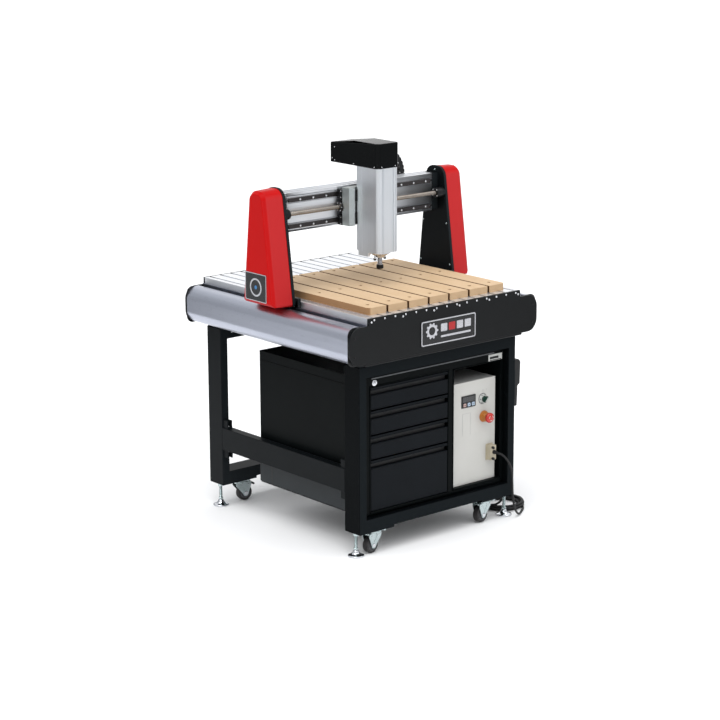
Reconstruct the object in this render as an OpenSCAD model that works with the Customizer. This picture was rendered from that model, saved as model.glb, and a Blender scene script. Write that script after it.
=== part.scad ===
// Gantry CNC router on a steel stand with a tool cabinet and a control box.
// Frame: X to the right along the front, Y to the back, Z up, origin on the
// floor under the middle of the machine. All sizes in millimetres.

/* [Bed] */
// Half of the bed width, from the middle to the outer edge of the planks
bed_half = 362; // [360:0.5:362]
// Height of the bed's top above the floor
bed_top = 872; // [871:0.5:873]
// Half of the machine length, to the outside of an end plate
bed_end = 476; // [474:0.5:478]
// Thickness of a front or rear end plate
plate_t = 10; // [8:0.5:12]
// Thickness of the bed planks
plank_t = 24; // [23:0.5:24]
// Distance from one T-slot to the next
slot_pitch = 48.3; // [48:0.1:48.3]
// Width of a T-slot's mouth
slot_mouth = 9; // [8:0.5:10]
// Thickness of the wooden slats
slat_t = 25; // [18:0.5:26]
// Width of one wooden slat
slat_w = 87.6; // [84:0.1:88]

/* [Side rails] */
// Outer half width of the machine's side rails
rail_out = 448; // [446:0.5:450]
// Height of the side rails' top above the floor
rail_top = 847; // [846:0.5:848]
// Height of the side rails' underside above the floor
rail_bot = 711; // [711:0.5:712]

/* [Gantry] */
// Inner face of a gantry plate, from the middle
plate_in = 378; // [377:0.5:379]
// Outer face of a gantry plate, from the middle
plate_out = 389.5; // [388:0.5:389.5]
// Outer face of a red cover, from the middle
cover_out = 474; // [464:1:478]
// Height of the covers' top above the floor
cover_top = 1268.6; // [1264:0.2:1270]
// Front face of the gantry beam
beam_front = -12.9; // [-13.5:0.1:-12.5]
// Height of the beam's underside
beam_bot = 1106.6; // [1104:0.2:1108]
// Height of the beam's top
beam_top = 1247.3; // [1246:0.1:1248]
// Pitch of the screws in the linear rails
rail_screw_pitch = 60; // [60:1:60]

/* [Head] */
// Middle of the vertical head in X
head_x = -38.5; // [-40:0.5:-37]
// Width of the head column
col_w = 97; // [95:0.5:98]
// Front face of the head column
col_front = -205; // [-207:0.5:-204]
// Underside of the head column
col_bot = 1021; // [1019:0.5:1023]
// Radius of the collet's bore
collet_r = 3.175; // [3:0.005:3.2]

/* [Stand] */
// Outer half width of the stand
stand_x = 375.6; // [375:0.1:376]
// Outer half depth of the stand
stand_y = 440; // [439:0.5:441]
// Width of a leg tube seen from the front
leg_w = 33; // [32:0.5:34]
// Depth of a leg tube seen from the side
leg_d = 82; // [80:0.5:84]
// Height of the stand's top
stand_top = 694; // [693:0.5:694]
// Radius of a levelling foot's pad
foot_r = 30; // [27:0.5:30]
// Radius of a caster wheel
wheel_r = 30; // [28:0.5:30]

/* [Cabinet and controls] */
// Front face of the cabinet
cab_front = -416; // [-417:0.5:-415]
// Rear face of the cabinet
cab_rear = 174; // [160:1:180]
// Diameter of the control lead
lead_d = 8; // [7:0.5:8]
// Radius of the e-stop's red head
estop_r = 17; // [16:0.5:18]

/* [Hidden] */
$fn = 48;
black = [0.11, 0.12, 0.13];
red = [0.72, 0.10, 0.10];
alu = [0.76, 0.77, 0.79];
steel = [0.62, 0.62, 0.64];
zinc = [0.70, 0.74, 0.74];
wood = [0.83, 0.66, 0.46];
rub = [0.16, 0.16, 0.17];

in_y = bed_end - plate_t;          // inner face of an end plate
head_y = -160;                     // spindle axis
zs_y = -67;                        // vertical screw axis
col_rear = -92;
col_top = 1328;
xs_y = -34;                        // cross screw axis
xs_z = 1176;
rail_z1 = 1221.4;                  // upper and lower cross rails
rail_z2 = 1126.4;
car_x0 = -120;                     // carriage
car_x1 = 34;
car_y0 = -87;
car_y1 = -48;
car_z0 = 1111;
car_z1 = 1249;
cap_x0 = -90;
cap_x1 = 13;
cap_y0 = -208;
cap_y1 = 55;
cap_z0 = 1328;
cap_z1 = 1417;
ys_z = 770;                        // long screw axis
foot_x = 362.6;
foot_yf = -403;
foot_yr = 391;
cas_x = 277;                       // caster swivel axis
cas_t = 22;                        // caster trail
wheel_z = wheel_r + 1;
box_y = -400;                      // control box front
sw_x = 250;
sw_z = 470;
es_x = 256;
es_z = 402;
coil_x = 440;
coil_y = -314;
coil_r = 71;

// ---- shapes drawn in a plane and pushed along an axis ----
module along_y(y0, y1) translate([0, y1, 0]) rotate([90, 0, 0]) linear_extrude(y1 - y0) children();
module along_x(x0, x1) translate([x0, 0, 0]) rotate([90, 0, 90]) linear_extrude(x1 - x0) children();
module rod_x(x0, x1, y, z, r) translate([x0, y, z]) rotate([0, 90, 0]) cylinder(h = x1 - x0, r = r);
module rod_y(y0, y1, x, z, r) translate([x, y0, z]) rotate([-90, 0, 0]) cylinder(h = y1 - y0, r = r);
module rod_z(z0, z1, x, y, r) translate([x, y, z0]) cylinder(h = z1 - z0, r = r);
module blk(x0, x1, y0, y1, z0, z1) translate([x0, y0, z0]) cube([x1 - x0, y1 - y0, z1 - z0]);
module both_x() { children(); mirror([1, 0, 0]) children(); }
// rounded rectangle from corner to corner
module rrect(x0, y0, x1, y1, r) {
  translate([x0 + r, y0]) square([x1 - x0 - 2 * r, y1 - y0]);
  translate([x0, y0 + r]) square([x1 - x0, y1 - y0 - 2 * r]);
  for (x = [x0 + r, x1 - r], y = [y0 + r, y1 - r]) translate([x, y]) circle(r = r);
}
// polygon with rounded corners: each entry is [x, y, radius]
function unit(v) = v / norm(v);
function corner(a, b, c, r, n = 6) =
  r <= 0 ? [[b[0], b[1]]] :
  let (u = unit([a[0] - b[0], a[1] - b[1]]), w = unit([c[0] - b[0], c[1] - b[1]]),
       h = acos(u * w) / 2, d = r / tan(h), m = unit(u + w), o = [b[0], b[1]] + m * r / sin(h),
       p = [b[0], b[1]] + u * d - o, q = [b[0], b[1]] + w * d - o,
       a0 = atan2(p[1], p[0]), a1 = atan2(q[1], q[0]),
       s = a1 - a0 > 180 ? a1 - a0 - 360 : a1 - a0 < -180 ? a1 - a0 + 360 : a1 - a0)
  [for (i = [0:n]) o + r * [cos(a0 + s * i / n), sin(a0 + s * i / n)]];
function rpts(p) = [for (i = [0:len(p) - 1]) each corner(p[(i + len(p) - 1) % len(p)], p[i], p[(i + 1) % len(p)], p[i][2])];
module rpoly(p) polygon(rpts(p));

// ---- stand ----
module leg_frame() {
  both_x() blk(stand_x - leg_w, stand_x, -stand_y, -stand_y + leg_d, 95, stand_top);
  blk(-stand_x + leg_w, stand_x - leg_w, -stand_y, -stand_y + leg_d, 652, stand_top);
  blk(-stand_x + leg_w, stand_x - leg_w, -stand_y, -stand_y + leg_d, 95, 137);
  both_x() blk(214, stand_x, -stand_y, -stand_y + leg_d, 86, 95);
}
module front_leg_frame() color(black) leg_frame();
module rear_leg_frame() color(black) mirror([0, 1, 0]) leg_frame();
module side_beams() color(black) both_x() {
  blk(stand_x - leg_w, stand_x, -stand_y + leg_d, stand_y - leg_d, 228, 314);
  // bolted angle brackets above and below each end
  for (s = [-1, 1], z = [[314, 344], [198, 228]])
    difference() {
      blk(stand_x - 28, stand_x - 5, s > 0 ? 330 : -358, s > 0 ? 358 : -330, z[0], z[1]);
      blk(stand_x - 23, stand_x - 10, s > 0 ? 329 : -353, s > 0 ? 353 : -329, z[0] + (z[0] > 300 ? 5 : -1), z[1] - (z[0] > 300 ? -1 : 5));
    }
}
module bed_supports() color(black) {
  // machine base beams, cross bars under the planks, and the bars that rest on the stand
  for (s = [0, 1]) mirror([0, s, 0]) blk(-394, 394, -436, -362, rail_bot, rail_bot + 18);
  for (y = [-400, -133, 133, 330]) blk(-bed_half + 1, bed_half - 1, y - 20, y + 20, bed_top - plank_t - 20, bed_top - plank_t);
  for (s = [0, 1]) mirror([0, s, 0]) blk(-stand_x + 3, stand_x - 3, -438, -364, stand_top, rail_bot);
}
module foot(x, y) translate([x, y, 0]) {
  rotate_extrude() polygon([[0, 0], [foot_r, 0], [foot_r, 4], [foot_r - 4, 9], [foot_r - 14, 13], [12, 18], [9, 24], [6, 24], [6, 86], [0, 86]]);
  translate([0, 0, 80]) difference() { cylinder(h = 6, r = 12, $fn = 6); translate([0, 0, -1]) cylinder(h = 8, r = 6); }
}
module caster_plate(x, y) difference() {
  blk(x - 36, x + 36, y - 30, y + 30, 82, 86);
  rod_z(81, 87, x, y, 8.1);
}
module feet_and_caster_plates() color(zinc) for (s = [-1, 1]) for (y = [foot_yf, foot_yr]) {
  foot(s * foot_x, y);
  px = s > 0 && y < 0 ? cas_x - 18 : s * cas_x;
  caster_plate(px, y);
  for (a = [-1, 1], b = [-1, 1]) rod_z(78, 82, px + a * 30, y + b * 24, 4);
}
// caster: swivel axis at the origin, wheel trailing along +X
module fork(dir, pedal) rotate([0, 0, dir]) color(zinc) {
  rod_z(76, 85.6, 0, 0, 8);
  rod_z(75.5, 81.5, 0, 0, 27);
  difference() {
    union() {
      blk(-20, 44, -18, 18, 70, 75.6);
      for (s = [-1, 1]) along_y(s > 0 ? 15 : -18, s > 0 ? 18 : -15)
        polygon([[-20, 75], [-19, 64], [cas_t - 12, wheel_z - 2], [cas_t - 6, wheel_z - 10], [cas_t + 6, wheel_z - 10], [cas_t + 12, wheel_z], [44, 64], [44, 75]]);
    }
    translate([0, 0, -1]) blk(cas_t - 12, cas_t + 32, -14.9, 14.9, 60, 71.01 + 1);
  }
  rod_y(-20, 20, cas_t, wheel_z, 5);
  if (pedal) { blk(40, 62, -11, 11, 62, 67); blk(36, 46, -11, 11, 64, 72); }
}
module wheel(dir) rotate([0, 0, dir]) color(rub) translate([cas_t, 0, wheel_z]) rotate([90, 0, 0]) difference() {
  rotate_extrude() polygon([[5.06, -13], [14, -13], [16, -10], [wheel_r - 7, -10], [wheel_r - 5, -12], [wheel_r - 2, -12], [wheel_r, -8], [wheel_r, 8], [wheel_r - 2, 12], [wheel_r - 5, 12], [wheel_r - 7, 10], [16, 10], [14, 13], [5.06, 13]]);
}
module caster_fork_fl() translate([-cas_x, foot_yf, 0]) fork(188, false);
module caster_fork_fr() translate([cas_x - 18, foot_yf, 0]) fork(188, false);
module caster_fork_rl() translate([-cas_x, foot_yr, 0]) fork(-8, true);
module caster_fork_rr() translate([cas_x, foot_yr, 0]) fork(90, true);
module caster_wheel_fl() translate([-cas_x, foot_yf, 0]) wheel(188);
module caster_wheel_fr() translate([cas_x - 18, foot_yf, 0]) wheel(188);
module caster_wheel_rl() translate([-cas_x, foot_yr, 0]) wheel(-8);
module caster_wheel_rr() translate([cas_x, foot_yr, 0]) wheel(90);

// ---- bed ----
module end_shape() {
  translate([-bed_half, rail_bot]) square([2 * bed_half, bed_top - rail_bot]);
  rrect(-rail_out, rail_bot, rail_out, rail_top, 46);
}
module front_end_plate() color(black) along_y(-bed_end, -in_y) end_shape();
module rear_end_plate() color(black) along_y(in_y, bed_end) end_shape();
module rail_shape() {
  difference() {
    intersection() {
      rrect(rail_out - 120, rail_bot, rail_out, rail_top, 46);
      translate([394, rail_bot]) square([rail_out - 394, rail_top - rail_bot]);
    }
    translate([393, 740]) square([17, 44]);
    difference() {
      intersection() {
        rrect(rail_out - 116, rail_bot + 4, rail_out - 4, rail_top - 4, 42);
        translate([398, rail_bot]) square([60, rail_top - rail_bot]);
      }
      translate([390, 735]) square([25, 54]);
    }
  }
}
module side_rails() color(alu) both_x() along_y(-in_y, in_y) rail_shape();
module plank_shape() difference() {
  translate([-1.5 * slot_pitch + 0.2, bed_top - plank_t]) square([3 * slot_pitch - 0.4, plank_t]);
  for (i = [-1, 0, 1]) translate([i * slot_pitch, bed_top]) {
    translate([-slot_mouth / 2, -8]) square([slot_mouth, 9]);
    translate([-9.5, -14]) square([19, 7.5]);
  }
  for (i = [-1, 0, 1]) translate([i * slot_pitch - 14, bed_top - plank_t - 1]) square([28, 5]);
}
module bed_planks() color(alu) for (i = [-2:2]) translate([3 * slot_pitch * i, 0, 0]) along_y(-in_y, in_y) plank_shape();
slat_x = [for (i = [-3:3]) 2 * slot_pitch * i];
slat_y = [-385, -119.5, 147];
module spoilboard_slats() color(wood) for (i = [0:6]) difference() {
  x0 = i == 0 ? -325 : slat_x[i] - slat_w / 2;
  x1 = i == 6 ? 325 : slat_x[i] + slat_w / 2;
  rz = 16;
  translate([0, 0, bed_top]) linear_extrude(slat_t) difference() {
    union() {
      translate([x0, -434]) square([x1 - x0, 613]);
    }
    if (i == 0) translate([x0, -434]) difference() { translate([-1, -1]) square(rz + 1); translate([rz, rz]) circle(r = rz); }
    if (i == 6) translate([x1, -434]) difference() { translate([-rz, -1]) square(rz + 1); translate([-rz, rz]) circle(r = rz); }
  }
  for (y = slat_y) rod_z(bed_top + slat_t - 6, bed_top + slat_t + 1, slat_x[i], y, 6.5);
  for (y = slat_y) rod_z(bed_top - 1, bed_top + slat_t, slat_x[i], y, 3.3);
}
module deck_screws() color(steel) {
  for (x = slat_x, y = slat_y) {
    rod_z(bed_top + slat_t - 6, bed_top + slat_t - 1.5, x, y, 6);
    rod_z(bed_top - 11, bed_top + slat_t - 6, x, y, 3);
    translate([x, y, bed_top - 9.05]) cube([15, 15, 5], center = true);
  }
  for (y = [-bed_end - 2.4, bed_end - 0.0]) {
    for (i = [-7:7]) rod_y(y, y + 2.4, i * slot_pitch, 864.5, 2.6);
    for (x = [-350, -206, -61, 61, 206, 350]) rod_y(y, y + 2.4, x, 858.5, 3);
    for (x = [-425, 425], z = [745, 812]) rod_y(y, y + 2.4, x, z, 4.5);
  }
}
module y_rails() color(steel) both_x() blk(400, 410, -in_y + 6, in_y - 6, 752, 772);
module y_drive() color(steel) {
  // screw bearings at both ends and the motor
  difference() { blk(-32, 32, -in_y, -in_y + 20, 738, 802); rod_y(-in_y - 1, -in_y + 21, 0, ys_z, 10.1); }
  difference() { blk(-32, 32, 376, 388, 738, bed_top - plank_t); rod_y(375, 389, 0, ys_z, 10.1); }
  difference() { blk(-32, 32, 392, 448, 738, 802); rod_y(391, 400, 0, ys_z, 12); }
  blk(-32, 32, 448, in_y, 738, 802);
}
module y_screw() color(steel) rod_y(-in_y + 1, 394, 0, ys_z, 10);
module front_badges() color(black) {
  along_y(-bed_end - 2.5, -bed_end) rrect(-125, 733, 140, 827, 9);
  along_y(cab_front - 1.2, cab_front) rrect(262, 606, 332, 634, 2);
}

// ---- cabinet ----
dr = [[526, 606], [435, 520], [346, 429], [156, 340]];   // drawer fronts, bottom and top
module toolbox_cabinet() color(black) {
  difference() {
    blk(-341.8, 341.8, cab_front, cab_front + 4, 138, 651);
    blk(-304, 64, cab_front - 1, cab_front + 5, 153.5, 608.5);
    blk(92, 325, cab_front - 1, cab_front + 5, 158, 605);
    rod_y(cab_front - 1, cab_front + 5, -287, 623, 7);
  }
  y0 = cab_front + 4;
  blk(-335, -333, y0, cab_rear, 138, 641);
  blk(333, 335, y0, cab_rear, 138, 641);
  blk(-333, 333, y0, cab_rear, 639, 641);
  blk(-333, 333, y0, cab_rear, 138, 140);
  blk(-333, 333, cab_rear - 2, cab_rear, 140, 639);
  blk(72, 74, y0, cab_rear - 2, 140, 639);
  blk(74, 333, y0, cab_rear - 2, 156, 158);
  for (d = dr) {
    blk(-333, -297.5, cab_front + 21, 60, d[0] + 18, d[0] + 28);
    blk(57.5, 72, cab_front + 21, 60, d[0] + 18, d[0] + 28);
  }
}
// drawer: front with a finger channel along its top, and an open tray
module drawer(z0, z1) color(black) {
  difference() {
    blk(-302, 62, cab_front, cab_front + 20, z0, z1);
    blk(-303, 63, cab_front - 1, cab_front + 15, z1 - 28, z1 - 10);
  }
  difference() {
    blk(-296, 56, cab_front + 20, cab_front + 520, z0 + 4, z1 - 30);
    blk(-294, 54, cab_front + 20, cab_front + 518, z0 + 6, z1);
  }
}
module drawer_1() drawer(dr[0][0], dr[0][1]);
module drawer_2() drawer(dr[1][0], dr[1][1]);
module drawer_3() drawer(dr[2][0], dr[2][1]);
module drawer_4() drawer(dr[3][0], dr[3][1]);
module lock_barrel() color(zinc) difference() {
  union() { rod_y(cab_front - 4, cab_front - 0.4, -287, 623, 10); rod_y(cab_front - 0.4, cab_front + 14, -287, 623, 6.92); blk(-292, -282, cab_front + 14, cab_front + 17, 609, 626); }
  blk(-288, -286, cab_front - 5, cab_front - 2, 618.5, 627.5);
}

// ---- control box ----
module control_box() color([0.80, 0.80, 0.78]) difference() {
  blk(104, 314, box_y, -150, 158, 545);
  blk(106.5, 311.5, box_y + 2.5, -152.5, 160.5, 542.5);
  rod_y(box_y - 1, box_y + 4, sw_x, sw_z, 6);
  rod_y(box_y - 1, box_y + 4, es_x, es_z, 9);
  blk(148, 210, box_y - 1, box_y + 4, 453, 490);
}
module control_panel_parts() color(black) {
  difference() {
    union() { blk(144, 214, box_y - 2.5, box_y, 449, 494); blk(149, 209, box_y, box_y + 14, 454, 489); }
    for (x = [158.5, 179.5, 200.5]) blk(x - 7, x + 7, box_y - 3, box_y + 8, 453, 467);
  }
  difference() { rod_y(box_y - 8, box_y, sw_x, sw_z, 16); rod_y(box_y - 9, box_y + 1, sw_x, sw_z, 5.1); }
  difference() { union() { rod_y(box_y - 14, box_y, es_x, es_z, 20); rod_y(box_y - 24, box_y - 14, es_x, es_z, 13); } rod_y(box_y - 25, box_y + 1, es_x, es_z, 8.1); }
}
module key(x) color([0.75, 0.80, 0.85]) { blk(x - 6.4, x + 6.4, box_y - 5, box_y + 4, 453.6, 466.4); }
module key_stop() key(158.5);
module key_run() key(179.5);
module key_jog() key(200.5);
module switch_knob() color([0.05, 0.25, 0.18]) {
  rod_y(box_y - 18, box_y - 8.4, sw_x, sw_z, 12);
  blk(sw_x - 4, sw_x + 4, box_y - 30, box_y - 18, sw_z - 12, sw_z + 12);
  rod_y(box_y - 8.4, box_y + 12, sw_x, sw_z, 5);
}
module estop_head() color([0.80, 0.12, 0.10]) {
  translate([es_x, box_y - 32.5, es_z]) rotate([90, 0, 0]) rotate_extrude() polygon([[0, 0], [estop_r - 2, 0], [estop_r, 2], [estop_r, 7], [estop_r - 3, 11], [estop_r - 9, 13], [0, 13]]);
  rod_y(box_y - 33, box_y + 20, es_x, es_z, 8);
}
module cable_connector() color([0.80, 0.75, 0.62]) {
  difference() { blk(271, 299, box_y - 24, box_y, 234, 290); }
  for (z = [241, 283]) rod_y(box_y - 34, box_y - 24, 279, z, 4);
  difference() {
    translate([288, box_y - 24, 264]) rotate([90, 0, 0]) rotate_extrude() polygon([[0, 0], [8, 0], [8, 4], [5.6, 22], [0, 22]]);
  }
}
// ---- control lead: route points by hand, swept as a round tube ----
lead_a = [[288, -446, 264], [289, -452, 263], [296, -459, 259], [308, -464, 247], [322, -466, 228], [336, -465, 203],
  [345, -463, 172], [349, -461, 138], [352, -460, 104], [356, -460, 72], [364, -460, 42], [378, -457, 20], [398, -448, 8],
  [420, -434, 4.6], [442, -419, 4.4], [465, -402, 4.4], [483, -382, 4.4]];
lead_b = [[369, -314, 20], [369, -331, 21], [371, -350, 27], [377, -368, 41], [383, -382, 64], [387, -391, 92], [388, -396, 124],
  [388, -396, 180], [388, -396, 260], [388, -396, 340], [388, -396, 408]];
function tang(p, i) = unit(p[min(i + 1, len(p) - 1)] - p[max(i - 1, 0)]);
function side(t) = unit(cross(t, abs(t[1]) > 0.8 ? [1, 0, 0] : [0, 1, 0]));
function ring(p, i, r, n) = let (t = tang(p, i), u = side(t), v = cross(t, u)) [for (k = [0:n - 1]) p[i] + r * (cos(360 * k / n) * u + sin(360 * k / n) * v)];
function lerp3(p, k) = [for (i = [0:len(p) - 2]) for (j = [0:k - 1]) cr(p, i, j / k)];
function cr(p, i, t) = let (a = p[max(i - 1, 0)], b = p[i], c = p[i + 1], d = p[min(i + 2, len(p) - 1)])
  0.5 * (2 * b + (c - a) * t + (2 * a - 5 * b + 4 * c - d) * t * t + (3 * b - a - 3 * c + d) * t * t * t);
module tube(route, r, n = 8) {
  p = concat(lerp3(route, 2), [route[len(route) - 1]]);
  m = len(p);
  polyhedron(points = [for (i = [0:m - 1]) each ring(p, i, r, n)],
    faces = concat([[for (k = [n - 1:-1:0]) k]], [[for (k = [0:n - 1]) (m - 1) * n + k]],
      [for (i = [0:m - 2]) for (k = [0:n - 1]) [i * n + k, i * n + (k + 1) % n, (i + 1) * n + (k + 1) % n, (i + 1) * n + k]]));
}
module cable_leads() color(rub) { tube(lead_a, lead_d / 2); tube(lead_b, lead_d / 2); }
module cable_coil() color(rub) translate([coil_x, coil_y, 0]) rotate_extrude() translate([coil_r - 13, 0]) square([26, 24]);
module hand_pendant() color(black) {
  along_y(-432, -360) rpoly([[380, 424, 4], [396, 424, 5], [398, 500, 3], [410, 508, 6], [412, 590, 9], [380, 600, 4]]);
  rod_z(408, 424, 388, -396, 7);
}
module pendant_holder() color(black) {
  blk(stand_x, 380, -438, -354, 452, 560);
}

// ---- gantry ----
plate_yz = [[-76, 735, 6], [76, 735, 6], [76, 850, 0], [95, 860, 8], [52, cover_top + 2, 40], [-40, cover_top + 2, 40], [-96, 860, 8], [-76, 850, 0]];
module gantry_plates() color(black) both_x() {
  difference() {
    along_x(plate_in, plate_out) rpoly(plate_yz);
    rod_x(plate_in - 1, plate_out + 1, xs_y, xs_z, 9);
  }
  difference() {
    union() {
      along_x(346, plate_in) rpoly([[beam_front + 3, beam_bot + 2, 3], [48, beam_bot + 2, 3], [48, beam_top - 2, 3], [beam_front + 3, beam_top - 2, 3]]);
      rod_x(366, plate_in, xs_y, xs_z, 19);
    }
    rod_x(345, plate_in + 1, xs_y, xs_z, 8.06);
  }
  blk(364, plate_in, -108, -92, 852, 884);
}
cover_yz = [[-94, 855.6, 8], [93, 855.6, 8], [50, cover_top, 39], [-38, cover_top, 39]];
cover_in = [[-90, 859, 6], [89, 859, 6], [47, cover_top - 3.5, 36], [-35, cover_top - 3.5, 36]];
module gantry_covers() color(red) both_x() difference() {
  along_x(plate_out, cover_out) rpoly(cover_yz);
  along_x(plate_out - 1, cover_out - 3) rpoly(cover_in);
}
module gantry_beam() color(alu) along_x(-346, 346) difference() {
  rpoly([[beam_front, beam_bot, 3], [50, beam_bot, 3], [50, beam_top, 3], [beam_front, beam_top, 3]]);
  translate([-2, beam_bot + 6]) square([46, 56]);
  translate([-2, beam_bot + 70]) square([46, 64]);
  translate([beam_front - 1, xs_z - 14]) square([4, 28]);
  translate([beam_front - 1, beam_top - 12]) square([2.5, 3]);
  translate([beam_front - 1, beam_bot + 8]) square([2.5, 3]);
}
module x_rails() color([0.16, 0.17, 0.18]) for (z = [rail_z1, rail_z2]) difference() {
  blk(-345.5, 330, beam_front - 10, beam_front, z - 7.5, z + 7.5);
  for (i = [-5:6]) rod_y(beam_front - 11, beam_front - 6, 6.1 + i * rail_screw_pitch, z, 4.5);
}
module gantry_underframe() color(steel) {
  difference() {
    blk(-plate_in, plate_in, -27, 33, 745, 795);
    rod_y(-28, 34, 0, ys_z, 10.08);
  }
  both_x() for (y = [-64, 16]) difference() {
    blk(plate_out, 407, y, y + 50, 744, 780);
    blk(399.6, 408, y - 1, y + 51, 751.6, 772.4);
  }
}
module x_motor() color(rub) {
  blk(404, 452, -16, 26, 1155, 1197);
  rod_x(plate_out, 404, 5, xs_z, 5);
}
module x_screw() color([0.55, 0.47, 0.38]) {
  rod_x(-372.5, 400, xs_y, xs_z, 8);
}
module chain_tray() color(black) {
  difference() { blk(-330, 300, 50, 108, 1112, 1176); blk(-331, 301, 52, 106, 1114, 1177); }
  blk(-300, 150, 66, 100, 1114, 1121.5);
}
module x_carriage_block() color(alu) difference() {
  blk(car_x0, car_x1, car_y0, car_y1, car_z0, car_z1);
  rod_x(car_x0 - 1, car_x1 + 1, xs_y, xs_z, 20);
  for (x = [-92, -19]) blk(x, x + 34, car_y0 - 1, car_y0 + 12, car_z0 - 1, car_z1 + 1);
  rod_z(car_z0 - 1, car_z1 + 1, head_x, zs_y, 7.5);
  rod_z(1224.5, car_z1 + 1, head_x, zs_y, 12.2);
}
module carriage_bearings() color(rub) {
  for (x = [-118, -28], z = [rail_z1, rail_z2]) difference() {
    blk(x, x + 60, -47.99, -17.2, z - 17, z + 17);
    blk(x - 1, x + 61, beam_front - 10.4, -16, z - 7.9, z + 7.9);
  }
  for (x = [-75, -2], z = [1117, 1200]) difference() {
    blk(x - 16.5, x + 16.5, -91, -75, z, z + 42);
    blk(x - 6.4, x + 6.4, -92, -81.6, z - 1, z + 43);
  }
  difference() { rod_x(-119, -62, xs_y, xs_z, 19.5); rod_x(-120, -61, xs_y, xs_z, 8.06); }
  difference() { rod_z(1225, car_z1, head_x, zs_y, 12); rod_z(1224, car_z1 + 1, head_x, zs_y, 6.05); }
}
// cable carrier: bracket and upper run on the carriage, loop, lower run in the tray
module chain_top_run() color(rub) {
  translate([0, 0, car_z1]) linear_extrude(5) polygon([[-20, -58], [34, -58], [86, 58], [86, 63], [46, 63], [-20, -28]]);
  blk(46, 86, 58, 63, car_z1 + 5, 1362);
  blk(46, 86, 63, 100, 1357.5, 1362);
  blk(86, 150, 66, 100, 1357.5, 1362);
}
module chain_bend() color(rub) difference() {
  along_y(66, 100) difference() {
    union() {
      intersection() { translate([165, 1239.5]) circle(r = 117.5, $fn = 96); translate([165, 1100]) square([140, 280]); }
      translate([-20, 1335]) square([185.5, 22]);
      translate([-20, 1122]) square([185.5, 22]);
    }
    translate([165, 1239.5]) circle(r = 95.5, $fn = 96);
  }
}

// ---- head ----
module col_shape(x0, x1, y0, y1, c) polygon([[x0 + c, y0], [x1 - c, y0], [x1, y0 + c], [x1, y1], [x0, y1], [x0, y0 + c]]);
module z_column() color(alu) difference() {
  x0 = head_x - col_w / 2;
  x1 = head_x + col_w / 2;
  translate([0, 0, col_bot]) linear_extrude(col_top - col_bot) difference() {
    col_shape(x0, x1, col_front, col_rear, 10);
    for (x = [x0 + 24, x1 - 24]) translate([x - 1.2, col_front - 1]) square([2.4, 4]);
    translate([head_x, head_y]) circle(r = 41);
  }
}
module z_rails() color(steel) {
  for (x = [-75, -2]) blk(x - 6, x + 6, col_rear, -82, col_bot, col_top - 0.5);
  // lower bearing plate under the rear half of the column
  difference() {
    translate([0, 0, 1005]) linear_extrude(col_bot - 1005) rpoly([[head_x - 48.5, -150, 0], [head_x + 48.5, -150, 0], [head_x + 48.5, -92, 8], [head_x - 48.5, -92, 8]]);
    rod_z(1004, col_bot + 1, head_x, head_y, 38.6);
  }
}
module head_cap() color(black) {
  difference() {
    translate([0, 0, cap_z0]) linear_extrude(cap_z1 - cap_z0) col_shape(cap_x0, cap_x1, cap_y0, cap_y1, 12);
    translate([0, 0, cap_z0 + 3]) linear_extrude(cap_z1 - cap_z0 - 6) col_shape(cap_x0 + 3, cap_x1 - 3, cap_y0 + 3, cap_y1 - 3, 11);
    rod_z(cap_z0 - 1, cap_z0 + 4, head_x, zs_y, 6.1);
    // the roof slopes down to the rear
    along_x(cap_x0 - 1, cap_x1 + 1) polygon([[-76, cap_z1], [cap_y1 + 1, cap_z1 - 17], [cap_y1 + 1, cap_z1 + 1], [-76, cap_z1 + 1]]);
  }
  along_x(cap_x0 + 3, cap_x1 - 3) polygon([[-76, cap_z1 - 3.5], [cap_y1 - 3, cap_z1 - 20.5], [cap_y1 - 3, cap_z1 - 17], [-76, cap_z1 - 0.01]]);
}
module head_motors() color(rub) {
  difference() { blk(head_x - 28, head_x + 28, zs_y - 28, zs_y + 28, cap_z0 + 3, cap_z0 + 60); rod_z(cap_z0, cap_z0 + 20, head_x, zs_y, 8); }
  difference() { rod_z(1030, 1324, head_x, head_y, 40); rod_z(1029, 1081, head_x, head_y, 9); }
}
module z_screw() color(steel) rod_z(1102, cap_z0 + 19, head_x, zs_y, 6);
module spindle_nose() color(zinc) {
  difference() {
    translate([head_x, head_y, 1000]) rotate_extrude() polygon([[9, 0], [17, 0], [30, 14], [38, 16], [38, 21], [39.5, 21], [39.5, 30], [9, 30]]);
    for (s = [-1, 1]) rod_z(995, 1010, head_x + s * 23.5, head_y, 5.2);
  }
  for (s = [-1, 1]) rod_z(990, 1010, head_x + s * 23.5, head_y, 4.6);
}
module collet_shaft() color(steel) difference() {
  union() {
    rod_z(970, 1080, head_x, head_y, 8.5);
    translate([head_x, head_y, 957]) cylinder(h = 15, r = 13, $fn = 6);
  }
  rod_z(956, 985, head_x, head_y, collet_r);
}

front_leg_frame();
rear_leg_frame();
side_beams();
bed_supports();
feet_and_caster_plates();
front_end_plate();
rear_end_plate();
side_rails();
bed_planks();
spoilboard_slats();
deck_screws();
y_rails();
y_drive();
front_badges();
toolbox_cabinet();
control_box();
control_panel_parts();
cable_connector();
cable_leads();
cable_coil();
hand_pendant();
pendant_holder();
gantry_plates();
gantry_covers();
gantry_beam();
x_rails();
gantry_underframe();
x_motor();
chain_tray();
y_screw();
x_screw();
z_screw();
x_carriage_block();
carriage_bearings();
chain_top_run();
chain_bend();
z_column();
z_rails();
head_cap();
head_motors();
spindle_nose();
collet_shaft();
drawer_1();
drawer_2();
drawer_3();
drawer_4();
lock_barrel();
switch_knob();
estop_head();
key_stop();
key_run();
key_jog();
caster_fork_fl();
caster_fork_fr();
caster_fork_rl();
caster_fork_rr();
caster_wheel_fl();
caster_wheel_fr();
caster_wheel_rl();
caster_wheel_rr();
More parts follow.
